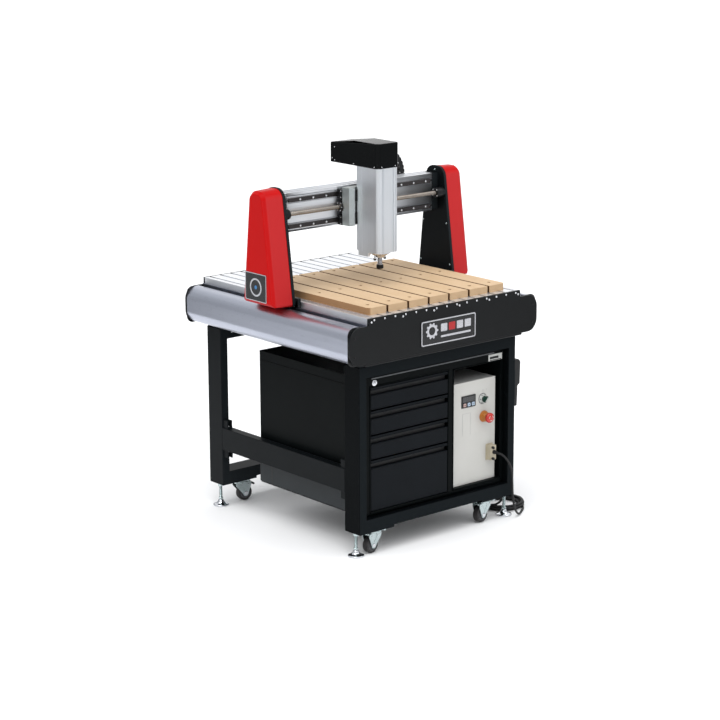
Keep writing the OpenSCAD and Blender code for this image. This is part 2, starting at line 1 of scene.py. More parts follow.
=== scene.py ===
import math
import random

import bmesh
import bpy
from mathutils import Matrix, Vector


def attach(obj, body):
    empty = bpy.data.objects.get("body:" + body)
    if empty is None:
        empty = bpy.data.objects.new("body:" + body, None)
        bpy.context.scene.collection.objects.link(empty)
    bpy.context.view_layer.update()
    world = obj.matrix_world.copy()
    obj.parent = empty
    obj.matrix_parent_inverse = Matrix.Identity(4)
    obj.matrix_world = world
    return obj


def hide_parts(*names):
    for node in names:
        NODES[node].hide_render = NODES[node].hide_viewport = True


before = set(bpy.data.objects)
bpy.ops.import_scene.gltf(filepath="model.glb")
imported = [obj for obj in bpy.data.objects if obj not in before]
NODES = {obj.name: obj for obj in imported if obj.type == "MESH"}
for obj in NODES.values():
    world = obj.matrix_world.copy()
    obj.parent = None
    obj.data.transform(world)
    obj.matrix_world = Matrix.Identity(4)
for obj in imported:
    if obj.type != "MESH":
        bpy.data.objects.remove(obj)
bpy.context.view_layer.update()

S = bpy.context.scene
RND = random.Random(7)
FRONT, REAR = -476.0, 476.0

# ---------------------------------------------------------------- camera
AZ, EL, ROLL = math.radians(-40.33), math.radians(13.82), math.radians(-0.21)
back = Vector((math.sin(AZ) * math.cos(EL), -math.cos(AZ) * math.cos(EL), math.sin(EL)))
right = Vector((math.cos(AZ), math.sin(AZ), 0))
up = back.cross(right)
r2 = right * math.cos(ROLL) + up * math.sin(ROLL)
u2 = -right * math.sin(ROLL) + up * math.cos(ROLL)
cam = bpy.data.objects.new("camera", bpy.data.cameras.new("camera"))
S.collection.objects.link(cam)
cam.matrix_world = Matrix.Translation((-5.1401, -6.05635, 2.53541)) @ Matrix((r2, u2, back)).transposed().to_4x4()
cam.data.lens, cam.data.sensor_width = 110.11, 36.0
cam.data.clip_start, cam.data.clip_end = 0.1, 200.0
S.camera = cam


# ---------------------------------------------------------------- materials
def node(nt, kind, **kw):
    n = nt.nodes.new(kind)
    for k, v in kw.items():
        if k in ("operation", "data_type", "blend_type", "noise_dimensions", "feature", "distance_metric", "wave_type", "bands_direction", "interpolation_type", "clamp"):
            setattr(n, k, v)
        else:
            n.inputs[k].default_value = v
    return n


def rgb(r, g, b):
    """A colour given as it is seen, 0 to 255, turned into the linear one."""
    def lin(c):
        c /= 255.0
        return c / 12.92 if c <= 0.04045 else ((c + 0.055) / 1.055) ** 2.4
    return (lin(r), lin(g), lin(b), 1.0)


def material(name, base, rough, metal=0.0, other=None, spots=30.0, spread=0.5, stretch=(1, 1, 1), rough2=None,
             fine=700.0, grain=(1, 1, 1), bump=0.2, depth=0.00008, coat=0.0, coat_rough=0.1, spec=0.5, side=None,
             side_at=0.5, front=None, speck=None, speck_scale=900.0, speck_amount=0.3, sheen=0.0, aniso=0.0):
    """One procedural finish: a base colour that wanders to another, a fine grain that sets bump and roughness,
    and, where asked for, a second colour on faces that don't look up (a darker cut edge, deepened as painted shade), a
    painted sheen colour on faces that look forward, and specks."""
    if metal < 0.5:                                      # the set is lit brighter than full white, so paints are graded down
        k = 0.76
        base, other, side, front = [c and tuple(v * k for v in c[:3]) + (1,) for c in (base, other, side, front)]
    m = bpy.data.materials.new(name)
    m.use_nodes = True
    nt = m.node_tree
    nt.nodes.clear()
    out = nt.nodes.new("ShaderNodeOutputMaterial")
    b = nt.nodes.new("ShaderNodeBsdfPrincipled")
    nt.links.new(b.outputs[0], out.inputs[0])
    b.inputs["Metallic"].default_value = metal
    b.inputs["Coat Weight"].default_value = coat
    b.inputs["Coat Roughness"].default_value = coat_rough
    b.inputs["Specular IOR Level"].default_value = spec
    b.inputs["Sheen Weight"].default_value = sheen
    if aniso:
        b.inputs["Anisotropic"].default_value = aniso
    tc = nt.nodes.new("ShaderNodeTexCoord")
    mp = node(nt, "ShaderNodeMapping", Scale=stretch)
    nt.links.new(tc.outputs["Object"], mp.inputs["Vector"])
    big = node(nt, "ShaderNodeTexNoise", Scale=spots, Detail=4.0, Roughness=0.6)
    nt.links.new(mp.outputs[0], big.inputs["Vector"])
    mg = node(nt, "ShaderNodeMapping", Scale=grain)
    nt.links.new(tc.outputs["Object"], mg.inputs["Vector"])
    small = node(nt, "ShaderNodeTexNoise", Scale=fine, Detail=3.0, Roughness=0.55)
    nt.links.new(mg.outputs[0], small.inputs["Vector"])
    ramp = node(nt, "ShaderNodeMapRange", **{"From Min": 0.5 - spread / 2, "From Max": 0.5 + spread / 2})
    nt.links.new(big.outputs["Fac"], ramp.inputs["Value"])
    mix = node(nt, "ShaderNodeMix", data_type="RGBA")
    mix.inputs[6].default_value = base
    mix.inputs[7].default_value = other or tuple(c * 0.82 for c in base[:3]) + (1,)
    nt.links.new(ramp.outputs[0], mix.inputs[0])
    colour = mix.outputs[2]
    # faces that don't look up take the side colour: the board's darker cut edge, deepened as painted shade
    if side:
        geo = nt.nodes.new("ShaderNodeNewGeometry")
        sep = nt.nodes.new("ShaderNodeSeparateXYZ")
        nt.links.new(geo.outputs["Normal"], sep.inputs[0])
        up_is = node(nt, "ShaderNodeMapRange", **{"From Min": side_at, "From Max": side_at + 0.3})
        nt.links.new(sep.outputs[2], up_is.inputs["Value"])
        mix2 = node(nt, "ShaderNodeMix", data_type="RGBA")
        mix2.inputs[6].default_value = side
        nt.links.new(up_is.outputs[0], mix2.inputs[0])
        nt.links.new(colour, mix2.inputs[7])
        colour = mix2.outputs[2]
    # faces that look forward (-Y) take the front colour: a painted sheen, light painted by which way the face looks
    if front:
        geo2 = nt.nodes.new("ShaderNodeNewGeometry")
        sep2 = nt.nodes.new("ShaderNodeSeparateXYZ")
        nt.links.new(geo2.outputs["Normal"], sep2.inputs[0])
        painted_front_light_mask = node(nt, "ShaderNodeMapRange", **{"From Min": -0.75, "From Max": -0.97})
        nt.links.new(sep2.outputs[1], painted_front_light_mask.inputs["Value"])
        painted_front_light_mix = node(nt, "ShaderNodeMix", data_type="RGBA")
        painted_front_light_mix.inputs[7].default_value = front
        nt.links.new(painted_front_light_mask.outputs[0], painted_front_light_mix.inputs[0])
        nt.links.new(colour, painted_front_light_mix.inputs[6])
        colour = painted_front_light_mix.outputs[2]
    if speck:
        vo = node(nt, "ShaderNodeTexNoise", Scale=speck_scale, Detail=1.0)
        nt.links.new(mg.outputs[0], vo.inputs["Vector"])
        vr = node(nt, "ShaderNodeMapRange", **{"From Min": 0.56, "From Max": 0.72, "To Max": speck_amount})
        nt.links.new(vo.outputs["Fac"], vr.inputs["Value"])
        mix3 = node(nt, "ShaderNodeMix", data_type="RGBA")
        mix3.inputs[7].default_value = speck
        nt.links.new(vr.outputs[0], mix3.inputs[0])
        nt.links.new(colour, mix3.inputs[6])
        colour = mix3.outputs[2]
    nt.links.new(colour, b.inputs["Base Color"])
    rr = node(nt, "ShaderNodeMapRange", **{"From Min": 0.3, "From Max": 0.7, "To Min": rough, "To Max": rough2 if rough2 is not None else rough * 1.25 + 0.02})
    nt.links.new(small.outputs["Fac"], rr.inputs["Value"])
    nt.links.new(rr.outputs[0], b.inputs["Roughness"])
    if bump:
        bp = node(nt, "ShaderNodeBump", Strength=bump, Distance=depth)
        nt.links.new(small.outputs["Fac"], bp.inputs["Height"])
        nt.links.new(bp.outputs[0], b.inputs["Normal"])
    return m


# black coat; its lighter front colour on forward faces is a painted sheen
BLACK = material("black_powder_coat_and_painted_sheen", rgb(19, 23, 26), 0.36, other=rgb(15, 19, 21), spots=6, rough2=0.48, fine=1400, bump=0.25, depth=0.00006, spec=0.08, front=rgb(33, 38, 41))
# a darker copy of the black coat for the front leg frame: painted shade, with a painted sheen colour on its forward
# faces
BLACK_FRONT_PAINTED_SHADE = material("front_leg_black_painted_shade", rgb(10, 14, 16), 0.36, other=rgb(8, 11, 13), spots=6, rough2=0.48, fine=1400, bump=0.25, depth=0.00006, spec=0.03, front=rgb(24, 29, 32))
CABB = material("cabinet_black", rgb(10, 15, 16), 0.34, other=rgb(7, 11, 12), spots=6, rough2=0.46, fine=1400, bump=0.25, depth=0.00006, spec=0.05)
PANEL = material("access_panel_black", rgb(44, 49, 52), 0.40, other=rgb(38, 43, 46), spots=6, rough2=0.5, fine=1400, bump=0.25, depth=0.00006, spec=0.2)
BLACK2 = material("drawer_powder_coat", rgb(20, 24, 29), 0.38, other=rgb(16, 20, 24), spots=7, rough2=0.50, fine=1400, bump=0.25, depth=0.00006, spec=0.07)
PLATE = material("end_plate_coat", rgb(15, 18, 20), 0.30, other=rgb(11, 13, 15), spots=5, rough2=0.38, fine=1500, bump=0.2, depth=0.00005, spec=0.22)
# red coat; the pinker front colour on forward faces is a painted sheen
RED = material("red_cover_coat_and_painted_sheen", rgb(200, 8, 8), 0.30, other=rgb(193, 6, 7), spots=4, rough2=0.38, fine=1300, bump=0.15, depth=0.00005, spec=0.07, front=rgb(203, 46, 48))
RED_RIM = material("red_cover_inside", rgb(120, 12, 14), 0.5, spots=5, fine=900)
# aluminium; its lighter front colour on forward faces is painted light
ALU_Y = material("extruded_aluminium_y_and_painted_front_light", rgb(186, 190, 202), 0.27, 1.0, front=rgb(214, 218, 228), other=rgb(177, 181, 194), spots=60, stretch=(1, 0.03, 1), rough2=0.36, fine=1500, grain=(1, 0.02, 1), bump=0.35, depth=0.00002)
ALU_X = material("extruded_aluminium_x", rgb(236, 238, 242), 0.34, 1.0, other=rgb(226, 228, 232), spots=60, stretch=(0.03, 1, 1), rough2=0.44, fine=1500, grain=(0.02, 1, 1), bump=0.35, depth=0.00002)
ALU_Z = material("extruded_aluminium_z", rgb(236, 239, 243), 0.34, 1.0, other=rgb(228, 231, 235), spots=50, stretch=(1, 1, 0.03), rough2=0.44, fine=1500, grain=(1, 1, 0.02), bump=0.3, depth=0.00002)
PLANK = material("plank_aluminium", rgb(246, 247, 250), 0.36, 1.0, other=rgb(238, 240, 244), spots=60, stretch=(1, 0.03, 1), rough2=0.46, fine=1500, grain=(1, 0.02, 1), bump=0.3, depth=0.00002)
MACHINED = material("machined_aluminium", rgb(214, 219, 218), 0.36, 1.0, other=rgb(200, 207, 205), spots=40, rough2=0.48, fine=1200, grain=(1, 1, 0.05), bump=0.3, depth=0.00002)
STEEL = material("ground_steel", rgb(176, 176, 180), 0.22, 1.0, other=rgb(160, 160, 165), spots=50, rough2=0.32, fine=1500, bump=0.2, depth=0.00002)
RAIL = material("dark_rail_steel", rgb(74, 70, 70), 0.30, 0.9, other=rgb(58, 55, 56), spots=40, stretch=(0.05, 1, 1), rough2=0.40, fine=1500, grain=(0.05, 1, 1), bump=0.2, depth=0.00002)
DARK = material("blackened_steel", rgb(34, 34, 36), 0.34, 0.6, other=rgb(27, 27, 29), spots=40, rough2=0.46, fine=1300, bump=0.25, depth=0.00003)
BRONZE = material("rolled_screw_steel", rgb(172, 164, 156), 0.26, 1.0, other=rgb(150, 141, 132), spots=40, rough2=0.36, fine=1300, bump=0.2, depth=0.00003)
ZINC = material("bright_zinc", rgb(196, 208, 210), 0.16, 1.0, other=rgb(176, 190, 190), spots=70, spread=0.35, rough2=0.26, fine=900, bump=0.25, depth=0.00003)
CHROME = material("polished_chrome", rgb(222, 224, 228), 0.07, 1.0, other=rgb(210, 212, 217), spots=20, rough2=0.12, fine=500, bump=0.06, depth=0.00002)
SCREW = material("screw_zinc", rgb(236, 238, 240), 0.22, 0.85, other=rgb(214, 216, 220), spots=120, rough2=0.34, fine=1500, bump=0.15, depth=0.00002)
# MDF: the side colour is the board's darker cut edge, deepened as painted shade; the lighter front colour on forward
# cut edges is painted light
MDF = material("mdf_board", rgb(226, 196, 159), 0.62, other=rgb(217, 185, 146), spots=22, spread=0.4, stretch=(1, 0.5, 1), rough2=0.74, fine=1600, bump=0.35, depth=0.00009,
               side=rgb(160, 122, 84), side_at=0.35, front=rgb(209, 177, 139), speck=rgb(176, 128, 86), speck_scale=2200, speck_amount=0.30, spec=0.25)
# dark brown for the slat sides inside the gaps: painted shade
MDF_GAP_PAINTED_SHADE = material("mdf_gap_painted_shade", rgb(96, 62, 36), 0.75, other=rgb(82, 52, 30), spots=22, rough2=0.85, fine=1600, bump=0.35, depth=0.00009, spec=0.1)
PLASTIC = material("black_moulded_plastic", rgb(24, 25, 27), 0.42, other=rgb(20, 21, 23), spots=30, rough2=0.56, fine=2200, bump=0.4, depth=0.00005, spec=0.4)
GLOSSB = material("gloss_black_cap", rgb(10, 13, 14), 0.18, other=rgb(8, 10, 11), spots=8, rough2=0.24, fine=900, bump=0.08, depth=0.00004, spec=0.06, coat=0.02, coat_rough=0.1)
BOXG = material("box_light_grey", rgb(214, 213, 208), 0.42, other=rgb(208, 207, 202), spots=9, rough2=0.52, fine=1500, bump=0.25, depth=0.00005, spec=0.4)
BOXD = material("box_top_grey", rgb(190, 190, 189), 0.45, other=rgb(180, 180, 179), spots=9, rough2=0.55, fine=1500, bump=0.25, depth=0.00005, spec=0.4)
BEIGE = material("beige_connector", rgb(202, 192, 168), 0.4, other=rgb(190, 180, 156), spots=40, rough2=0.5, fine=1600, bump=0.25, depth=0.00005)
YELLOW = material("yellow_gloss_plastic", rgb(202, 122, 18), 0.25, other=rgb(190, 110, 16), spots=40, rough2=0.34, fine=1600, bump=0.15, depth=0.00004, coat=0.3)
ESTOP = material("red_gloss_plastic", rgb(208, 42, 28), 0.22, other=rgb(196, 34, 24), spots=40, rough2=0.3, fine=1600, bump=0.12, depth=0.00004, coat=0.4)
GREEN = material("green_black_plastic", rgb(14, 62, 48), 0.3, other=rgb(10, 48, 38), spots=60, rough2=0.4, fine=1600, bump=0.2, depth=0.00004)
WHITEP = material("white_plastic", rgb(214, 216, 212), 0.34, other=rgb(204, 206, 202), spots=50, rough2=0.42, fine=1600, bump=0.2, depth=0.00004)
KEYP = material("pale_blue_key", rgb(196, 214, 232), 0.3, other=rgb(180, 200, 222), spots=60, rough2=0.38, fine=1600, bump=0.15, depth=0.00004)
KEYR = material("pale_red_key", rgb(206, 176, 170), 0.3, other=rgb(192, 160, 154), spots=60, rough2=0.38, fine=1600, bump=0.15, depth=0.00004)
SCREEN = material("display_window", rgb(8, 12, 14), 0.08, other=rgb(12, 18, 22), spots=60, rough2=0.12, fine=300, bump=0.02, depth=0.00001, coat=0.5, coat_rough=0.03)
CABLE = material("rubber_cable", rgb(22, 22, 24), 0.46, other=rgb(28, 28, 30), spots=60, rough2=0.6, fine=1800, bump=0.35, depth=0.00006, spec=0.4)
TYRE = material("grey_black_tyre", rgb(42, 40, 41), 0.5, other=rgb(50, 48, 49), spots=60, rough2=0.64, fine=1500, bump=0.4, depth=0.0001, spec=0.4)
HUB = material("grey_hub", rgb(96, 96, 100), 0.4, other=rgb(84, 84, 88), spots=60, rough2=0.5, fine=1500, bump=0.3, depth=0.00006)
BADGE = material("badge_black", rgb(18, 19, 21), 0.2, other=rgb(15, 16, 18), spots=30, rough2=0.28, fine=900, bump=0.05, depth=0.00002, coat=0.4)
BADGE_L = material("badge_silver", rgb(216, 216, 220), 0.25, 0.7, other=rgb(200, 200, 206), spots=60, rough2=0.34, fine=1500, bump=0.1, depth=0.00002)
BADGE_R = material("badge_red", rgb(190, 30, 32), 0.3, other=rgb(180, 24, 28), spots=60, rough2=0.36, fine=1500, bump=0.1, depth=0.00002)
BADGE_B = material("badge_blue", rgb(60, 130, 190), 0.3, other=rgb(52, 118, 178), spots=60, rough2=0.36, fine=1500, bump=0.1, depth=0.00002)
CHAIN = material("carrier_plastic", rgb(26, 27, 29), 0.44, other=rgb(21, 22, 24), spots=40, rough2=0.56, fine=1800, bump=0.3, depth=0.00005, spec=0.4)
# light grey for a strip on the cabinet face: a painted highlight
CABINET_HIGHLIGHT_PAINT = material("painted_highlight_strip", rgb(104, 107, 110), 0.35, 0.2, other=rgb(70, 73, 76), spots=9, stretch=(1, 1, 1), rough2=0.45, fine=1500, bump=0.1, depth=0.00002)


# ---------------------------------------------------------------- building helpers (millimetres in, metres out)
def corner(a, b, c, r, n):
    a, b, c = Vector(a[:2]), Vector(b[:2]), Vector(c[:2])
    u, w = (a - b).normalized(), (c - b).normalized()
    if r <= 0:
        return [tuple(b)] * (n + 1)
    h = math.acos(max(-1, min(1, u.dot(w)))) / 2
    d = min(r / math.tan(h), (a - b).length * 0.49, (c - b).length * 0.49)
    r = d * math.tan(h)
    o = b + (u + w).normalized() * (r / math.sin(h))
    p, q = b + u * d - o, b + w * d - o
    a0, a1 = math.atan2(p.y, p.x), math.atan2(q.y, q.x)
    s = a1 - a0
    s = s - math.tau if s > math.pi else s + math.tau if s < -math.pi else s
    return [(o.x + r * math.cos(a0 + s * i / n), o.y + r * math.sin(a0 + s * i / n)) for i in range(n + 1)]


def rounded(pts, n=6):
    out = []
    for i, p in enumerate(pts):
        r = p[2] if len(p) > 2 else 0
        if r <= 0:
            out.append((p[0], p[1]))
        else:
            out += corner(pts[i - 1], p, pts[(i + 1) % len(pts)], r, n)
    return out


def rrect(x0, y0, x1, y1, r, n=6):
    return rounded([(x0, y0, r), (x1, y0, r), (x1, y1, r), (x0, y1, r)], n)


def inset(pts, d):
    """The outline moved in by d, its corner radii reduced with it. Points run anticlockwise."""
    k, out = len(pts), []
    for i in range(k):
        a, b, c = Vector(pts[i - 1][:2]), Vector(pts[i][:2]), Vector(pts[(i + 1) % k][:2])
        e, f = (b - a).normalized(), (c - b).normalized()
        n1, n2 = Vector((-e.y, e.x)), Vector((-f.y, f.x))
        p1, p2 = b + n1 * d, b + n2 * d
        den = e.x * f.y - e.y * f.x
        t = ((p2 - p1).x * f.y - (p2 - p1).y * f.x) / den
        p = p1 + e * t
        r = pts[i][2] if len(pts[i]) > 2 else 0
        out.append((p.x, p.y, max(0.5, r - d)))
    return out


class Kit:
    """Gathers closed shapes into one mesh piece."""

    def __init__(self):
        self.bm = bmesh.new()
        self.m = None
        self.mi = 0

    def at(self, matrix):
        self.m = matrix
        return self

    def use(self, i):
        self.mi = i
        return self

    def v(self, p):
        p = Vector(p)
        if self.m is not None:
            p = self.m @ p
        return self.bm.verts.new(p * 0.001)

    def f(self, vs):
        try:
            face = self.bm.faces.new(vs)
        except ValueError:
            return None
        face.material_index = self.mi
        face.smooth = True
        return face

    def loft(self, rings, caps=(True, True), closed=True):
        vr = [[self.v(p) for p in ring] for ring in rings]
        n = len(vr[0])
        made = []
        for a, b in zip(vr, vr[1:]):
            for i in range(n if closed else n - 1):
                j = (i + 1) % n
                made.append(self.f([a[i], a[j], b[j], b[i]]))
        if caps[0]:
            made.append(self.f(vr[0][::-1]))
        if caps[1]:
            made.append(self.f(vr[-1]))
        made = [x for x in made if x]
        bmesh.ops.recalc_face_normals(self.bm, faces=made)
        return self

    def prism(self, pts, axis, a, b):
        def place(p, t):
            return {"x": (t, p[0], p[1]), "y": (p[0], t, p[1]), "z": (p[0], p[1], t)}[axis]
        return self.loft([[place(p, a) for p in pts], [place(p, b) for p in pts]])

    def box(self, x0, x1, y0, y1, z0, z1):
        return self.prism([(x0, y0), (x1, y0), (x1, y1), (x0, y1)], "z", z0, z1)

    def lathe(self, profile, origin, axis, n=40, twist=0.0):
        """profile: [(radius, distance along the axis)], closed on the axis or round a ring."""
        d = Vector(axis).normalized()
        u = d.orthogonal().normalized()
        if abs(d.z) > 0.9:
            u = Vector((1, 0, 0))
        elif abs(d.y) > 0.9:
            u = Vector((1, 0, 0))
        elif abs(d.x) > 0.9:
            u = Vector((0, 1, 0))
        w = d.cross(u)
        o = Vector(origin)
        rings = []
        for r, t in profile:
            r = max(r, 0.0)
            rings.append([o + d * t + (u * math.cos(math.tau * k / n + twist) + w * math.sin(math.tau * k / n + twist)) * r for k in range(n)] if r > 1e-6 else o + d * t)
        made = []
        prev = None
        for ring in rings:
            cur = [self.v(ring)] if isinstance(ring, Vector) else [self.v(p) for p in ring]
            if prev is not None:
                for k in range(n):
                    j = (k + 1) % n
                    if len(prev) == 1 and len(cur) == 1:
                        break
                    if len(prev) == 1:
                        made.append(self.f([prev[0], cur[j], cur[k]]))
                    elif len(cur) == 1:
                        made.append(self.f([prev[k], prev[j], cur[0]]))
                    else:
                        made.append(self.f([prev[k], prev[j], cur[j], cur[k]]))
            prev = cur
        made = [x for x in made if x]
        bmesh.ops.recalc_face_normals(self.bm, faces=made)
        return self

    def rod(self, p0, p1, r, n=28, c=0.0):
        p0, p1 = Vector(p0), Vector(p1)
        L = (p1 - p0).length
        prof = [(0, 0), (r - c, 0), (r, c), (r, L - c), (r - c, L), (0, L)] if c else [(0, 0), (r, 0), (r, L), (0, L)]
        return self.lathe(prof, p0, p1 - p0, n)

    def button_head(self, p, d, r, h=None, hexr=None, n=20):
        """A button-head screw with a hexagon socket: p on the surface, d away from it."""
        h = h or r * 0.62
        hexr = hexr or r * 0.45
        prof = [(r, 0), (r, h * 0.25), (r * 0.93, h * 0.58), (r * 0.75, h * 0.88), (r * 0.6, h), (hexr * 1.08, h)]
        self.lathe(prof, p, d, n)
        self.lathe([(hexr * 1.08, h), (hexr, h - 0.15), (hexr, h * 0.35), (0, h * 0.3)], p, d, 6)
        return self

    def make(self, name, body, mats, bevel=0.5, seg=2, angle=32, slot=None, replaces=(), solidify=None, sub=0):
        me = bpy.data.meshes.new(name)
        bmesh.ops.remove_doubles(self.bm, verts=self.bm.verts, dist=1e-7)
        self.bm.to_mesh(me)
        self.bm.free()
        o = bpy.data.objects.new(name, me)
        S.collection.objects.link(o)
        for m in mats if isinstance(mats, (list, tuple)) else [mats]:
            me.materials.append(m)
        if solidify:
            mo = o.modifiers.new("wall", "SOLIDIFY")
            mo.thickness, mo.offset = solidify * 0.001, -1
        if bevel:
            mo = o.modifiers.new("edges", "BEVEL")
            mo.width, mo.segments, mo.limit_method, mo.angle_limit = bevel * 0.001, seg, "ANGLE", math.radians(angle)
            mo.harden_normals = False
            mo.use_clamp_overlap = True
        mo = o.modifiers.new("normals", "WEIGHTED_NORMAL")
        mo.keep_sharp = True
        mo.weight = 60
        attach(o, body)
        if replaces:
            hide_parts(*([replaces] if isinstance(replaces, str) else replaces))
        return o


def dress(name, mat, bevel=0.8, seg=2, angle=32, slot=None, dissolve=True):
    """A CAD node keeps its mesh and gets its finish and its worn edges."""
    o = NODES[name]
    for p in o.data.polygons:
        p.use_smooth = True
        p.material_index = 0
    o.data.materials.clear()
    o.data.materials.append(mat)
    mo = o.modifiers.new("weld", "WELD")
    mo.merge_threshold = 0.00002
    if dissolve:
        mo = o.modifiers.new("flat", "DECIMATE")
        mo.decimate_type, mo.angle_limit = "DISSOLVE", math.radians(0.6)
    if bevel:
        mo = o.modifiers.new("edges", "BEVEL")
        mo.width, mo.segments, mo.limit_method, mo.angle_limit = bevel * 0.001, seg, "ANGLE", math.radians(angle)
        mo.use_clamp_overlap = True
    mo = o.modifiers.new("normals", "WEIGHTED_NORMAL")
    mo.keep_sharp = True
    mo.weight = 60
    return o


# ---------------------------------------------------------------- the control lead: one cord from the connector to the hand controller
def spline_points(pts, k):
    """Catmull-Rom through the points, k steps between each two."""
    P = [Vector(p) for p in pts]
    out = []
    for i in range(len(P) - 1):
        a, b, c, d = P[max(i - 1, 0)], P[i], P[i + 1], P[min(i + 2, len(P) - 1)]
        for j in range(k):
            t = j / k
            out.append(0.5 * (2 * b + (c - a) * t + (2 * a - 5 * b + 4 * c - d) * t * t + (3 * b - a - 3 * c + d) * t ** 3))
    out.append(P[-1])
    return out


COIL = (440.0, -314.0)
LEAD_A = [(288, -446, 264), (289, -452, 263), (296, -459, 259), (308, -464, 247), (322, -466, 228), (336, -465, 203),
          (345, -463, 172), (349, -461, 138), (352, -460, 104), (356, -460, 72), (364, -460, 42), (378, -457, 20), (398, -448, 8),
          (420, -434, 4.6), (442, -419, 4.4), (465, -402, 4.4)]
LEAD_B = [(369, -331, 21), (371, -350, 27), (377, -368, 41), (383, -382, 64), (387, -391, 92), (388, -396, 124),
          (388, -396, 180), (388, -396, 260), (388, -396, 340), (388, -396, 408)]


def coil_turns():
    pts, a = [], math.radians(-57)
    step = math.tau / 26
    layers = [(80.0, 62.2, 4.4), (62.2, 80.0, 12.4), (80.0, 71.0, 20.0)]
    z_now = 4.4
    for li, (ra, rb, z) in enumerate(layers):
        turns = abs(rb - ra) / 8.9
        if li == 2:  # end at the left, going to the front
            end = math.radians(180)
            need = (end - a) % math.tau
            turns = need / math.tau + 1 if need / math.tau < 0.4 else need / math.tau
            turns = need / math.tau + (1 if abs(rb - ra) / 8.9 > need / math.tau + 0.3 else 0)
        n = max(3, round(turns * 26))
        for i in range(n):
            t = i / n
            r = ra + (rb - ra) * t
            lift = 0.0
            rise = 3.2
            if i < rise and li > 0:
                lift = (1 - (0.5 - 0.5 * math.cos(math.pi * i / rise))) * (z - z_now)
            pts.append((COIL[0] + r * math.cos(a), COIL[1] + r * math.sin(a), z - lift))
            a += turns * math.tau / n
        z_now = z
    pts.append((COIL[0] + rb * math.cos(a), COIL[1] + rb * math.sin(a), z_now))
    return pts


route = spline_points(LEAD_A + coil_turns() + LEAD_B, 3)
route = [Vector((p.x, p.y, max(p.z, 4.05))) for p in route]
curve = bpy.data.curves.new("control_lead", "CURVE")
curve.dimensions = "3D"
curve.bevel_depth, curve.bevel_resolution, curve.use_fill_caps = 0.004, 4, True
sp = curve.splines.new("POLY")
sp.points.add(len(route) - 1)
for p, q in zip(sp.points, route):
    p.co = (q.x * 0.001, q.y * 0.001, q.z * 0.001, 1)
sp.use_smooth = True
curve.materials.append(CABLE)
lead = bpy.data.objects.new("control_lead", curve)
S.collection.objects.link(lead)
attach(lead, "frame")
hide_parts("cable_leads", "cable_coil")
LEAD_M = sum((b - a).length for a, b in zip(route, route[1:])) * 0.001
print("control lead length", round(LEAD_M, 3))

# ---------------------------------------------------------------- stand
# the front leg frame takes the darker copy of the black: painted shade
for n in ("front_leg_frame", "rear_leg_frame", "side_beams", "bed_supports"):
    dress(n, BLACK_FRONT_PAINTED_SHADE if n == "front_leg_frame" else BLACK, 2.0 if "leg" in n else 1.6, 3)
k = Kit()
for s in (-1, 1):                                        # bolts of the angle brackets and of the rear top bar
    for y, d in ((-344, -1), (344, 1)):
        for z, dz in ((319.2, 1), (222.8, -1)):
            k.button_head((s * (375.6 - 16.5), y - d * 4, z), (0, 0, dz), 5.2)
    for y, d in ((352.5, -1), (-352.5, 1)):
        for z in (331, 211):
            k.button_head((s * (375.6 - 16.5), y, z), (0, d, 0), 5.2)
for x in (-322, -180, 180, 322):
    k.button_head((x, 358, 676), (0, -1, 0), 4.2)
    k.button_head((x, -358, 676), (0, 1, 0), 4.2)
k.make("stand_bolts", "frame", SCREW, 0.15, 1, slot="steel")
k = Kit()
for s in (-1, 1):                                        # plastic inserts in the ends of the tubes
    for y in (-440, 358):
        k.prism(rrect(s * 359.1 - 13.5, y + 3, s * 359.1 + 13.5, y + 79, 3), "z", 85.4, 86.6)
k.make("tube_end_inserts", "frame", PLASTIC, 0.4, slot="black_plastic")

# ---------------------------------------------------------------- levelling feet, caster plates
k = Kit()
k2 = Kit()
kd = Kit()
for s in (-1, 1):
    for y in (-403, 391):
        c = (s * 362.6, y, 0)
        # domed pad, neck and ball collar
        k.lathe([(0, 0.0), (28.8, 0.0), (29.6, 1.0), (29.8, 4.2), (28.6, 6.0), (25, 7.6), (20, 9.6), (15.2, 12.6), (12.6, 16.2), (11.6, 19.0), (10.6, 21.4), (8.6, 23.2), (6.6, 24), (0, 24)], c, (0, 0, 1), 48)
        # threaded stem
        prof = [(0, 23.5)]
        z = 23.5
        while z < 85:
            prof += [(6.0, z + 0.25), (6.0, z + 0.75), (5.3, z + 1.25), (5.3, z + 1.5)]
            z += 1.75
        prof += [(6.0, 86), (0, 86)]
        k2.lathe(prof, c, (0, 0, 1), 28)
        # lock nut under the leg and adjusting nut above the pad
        for z0, h in ((76.4, 9.0),):
            k2.lathe([(5.0, z0), (9.6, z0), (11.5, z0 + 1.2), (11.5, z0 + h - 0.4), (5.0, z0 + h - 0.4)], c, (0, 0, 1), 6)
        k2.lathe([(5.0, 25), (8.0, 25), (9.2, 26), (9.2, 31), (8.0, 32), (5.0, 32)], c, (0, 0, 1), 6)
foot_o = k.make("levelling_pads", "frame", CHROME, 0, slot="zinc", replaces="feet_and_caster_plates")
k2.make("levelling_stems", "frame", ZINC, 0.2, 1, slot="zinc")
CASTERS = {"fl": (-277, -403, 188, False), "fr": (259, -403, 188, False), "rl": (-277, 391, -8, True), "rr": (277, 391, 90, True)}
k = Kit()
kb = Kit()
for x, y, d, p in CASTERS.values():
    k.prism(rrect(x - 36, y - 30, x + 36, y + 30, 7), "z", 82.4, 86)
    # upper race, fixed to the plate
    k.lathe([(9, 82.6), (27.5, 82.6), (28.5, 81.9), (26, 81.2), (9, 81.2)], (x, y, 0), (0, 0, 1), 40)
    for a in (-1, 1):
        for b in (-1, 1):
            kb.lathe([(0, 78.2), (5.6, 78.2), (6.6, 79.2), (6.6, 82.4), (0, 82.4)], (x + a * 28, y + b * 22, 0), (0, 0, 1), 6)
k.make("caster_plates", "frame", ZINC, 0.5, slot="zinc")
kb.make("caster_plate_bolts", "frame", ZINC, 0.3, slot="zinc")
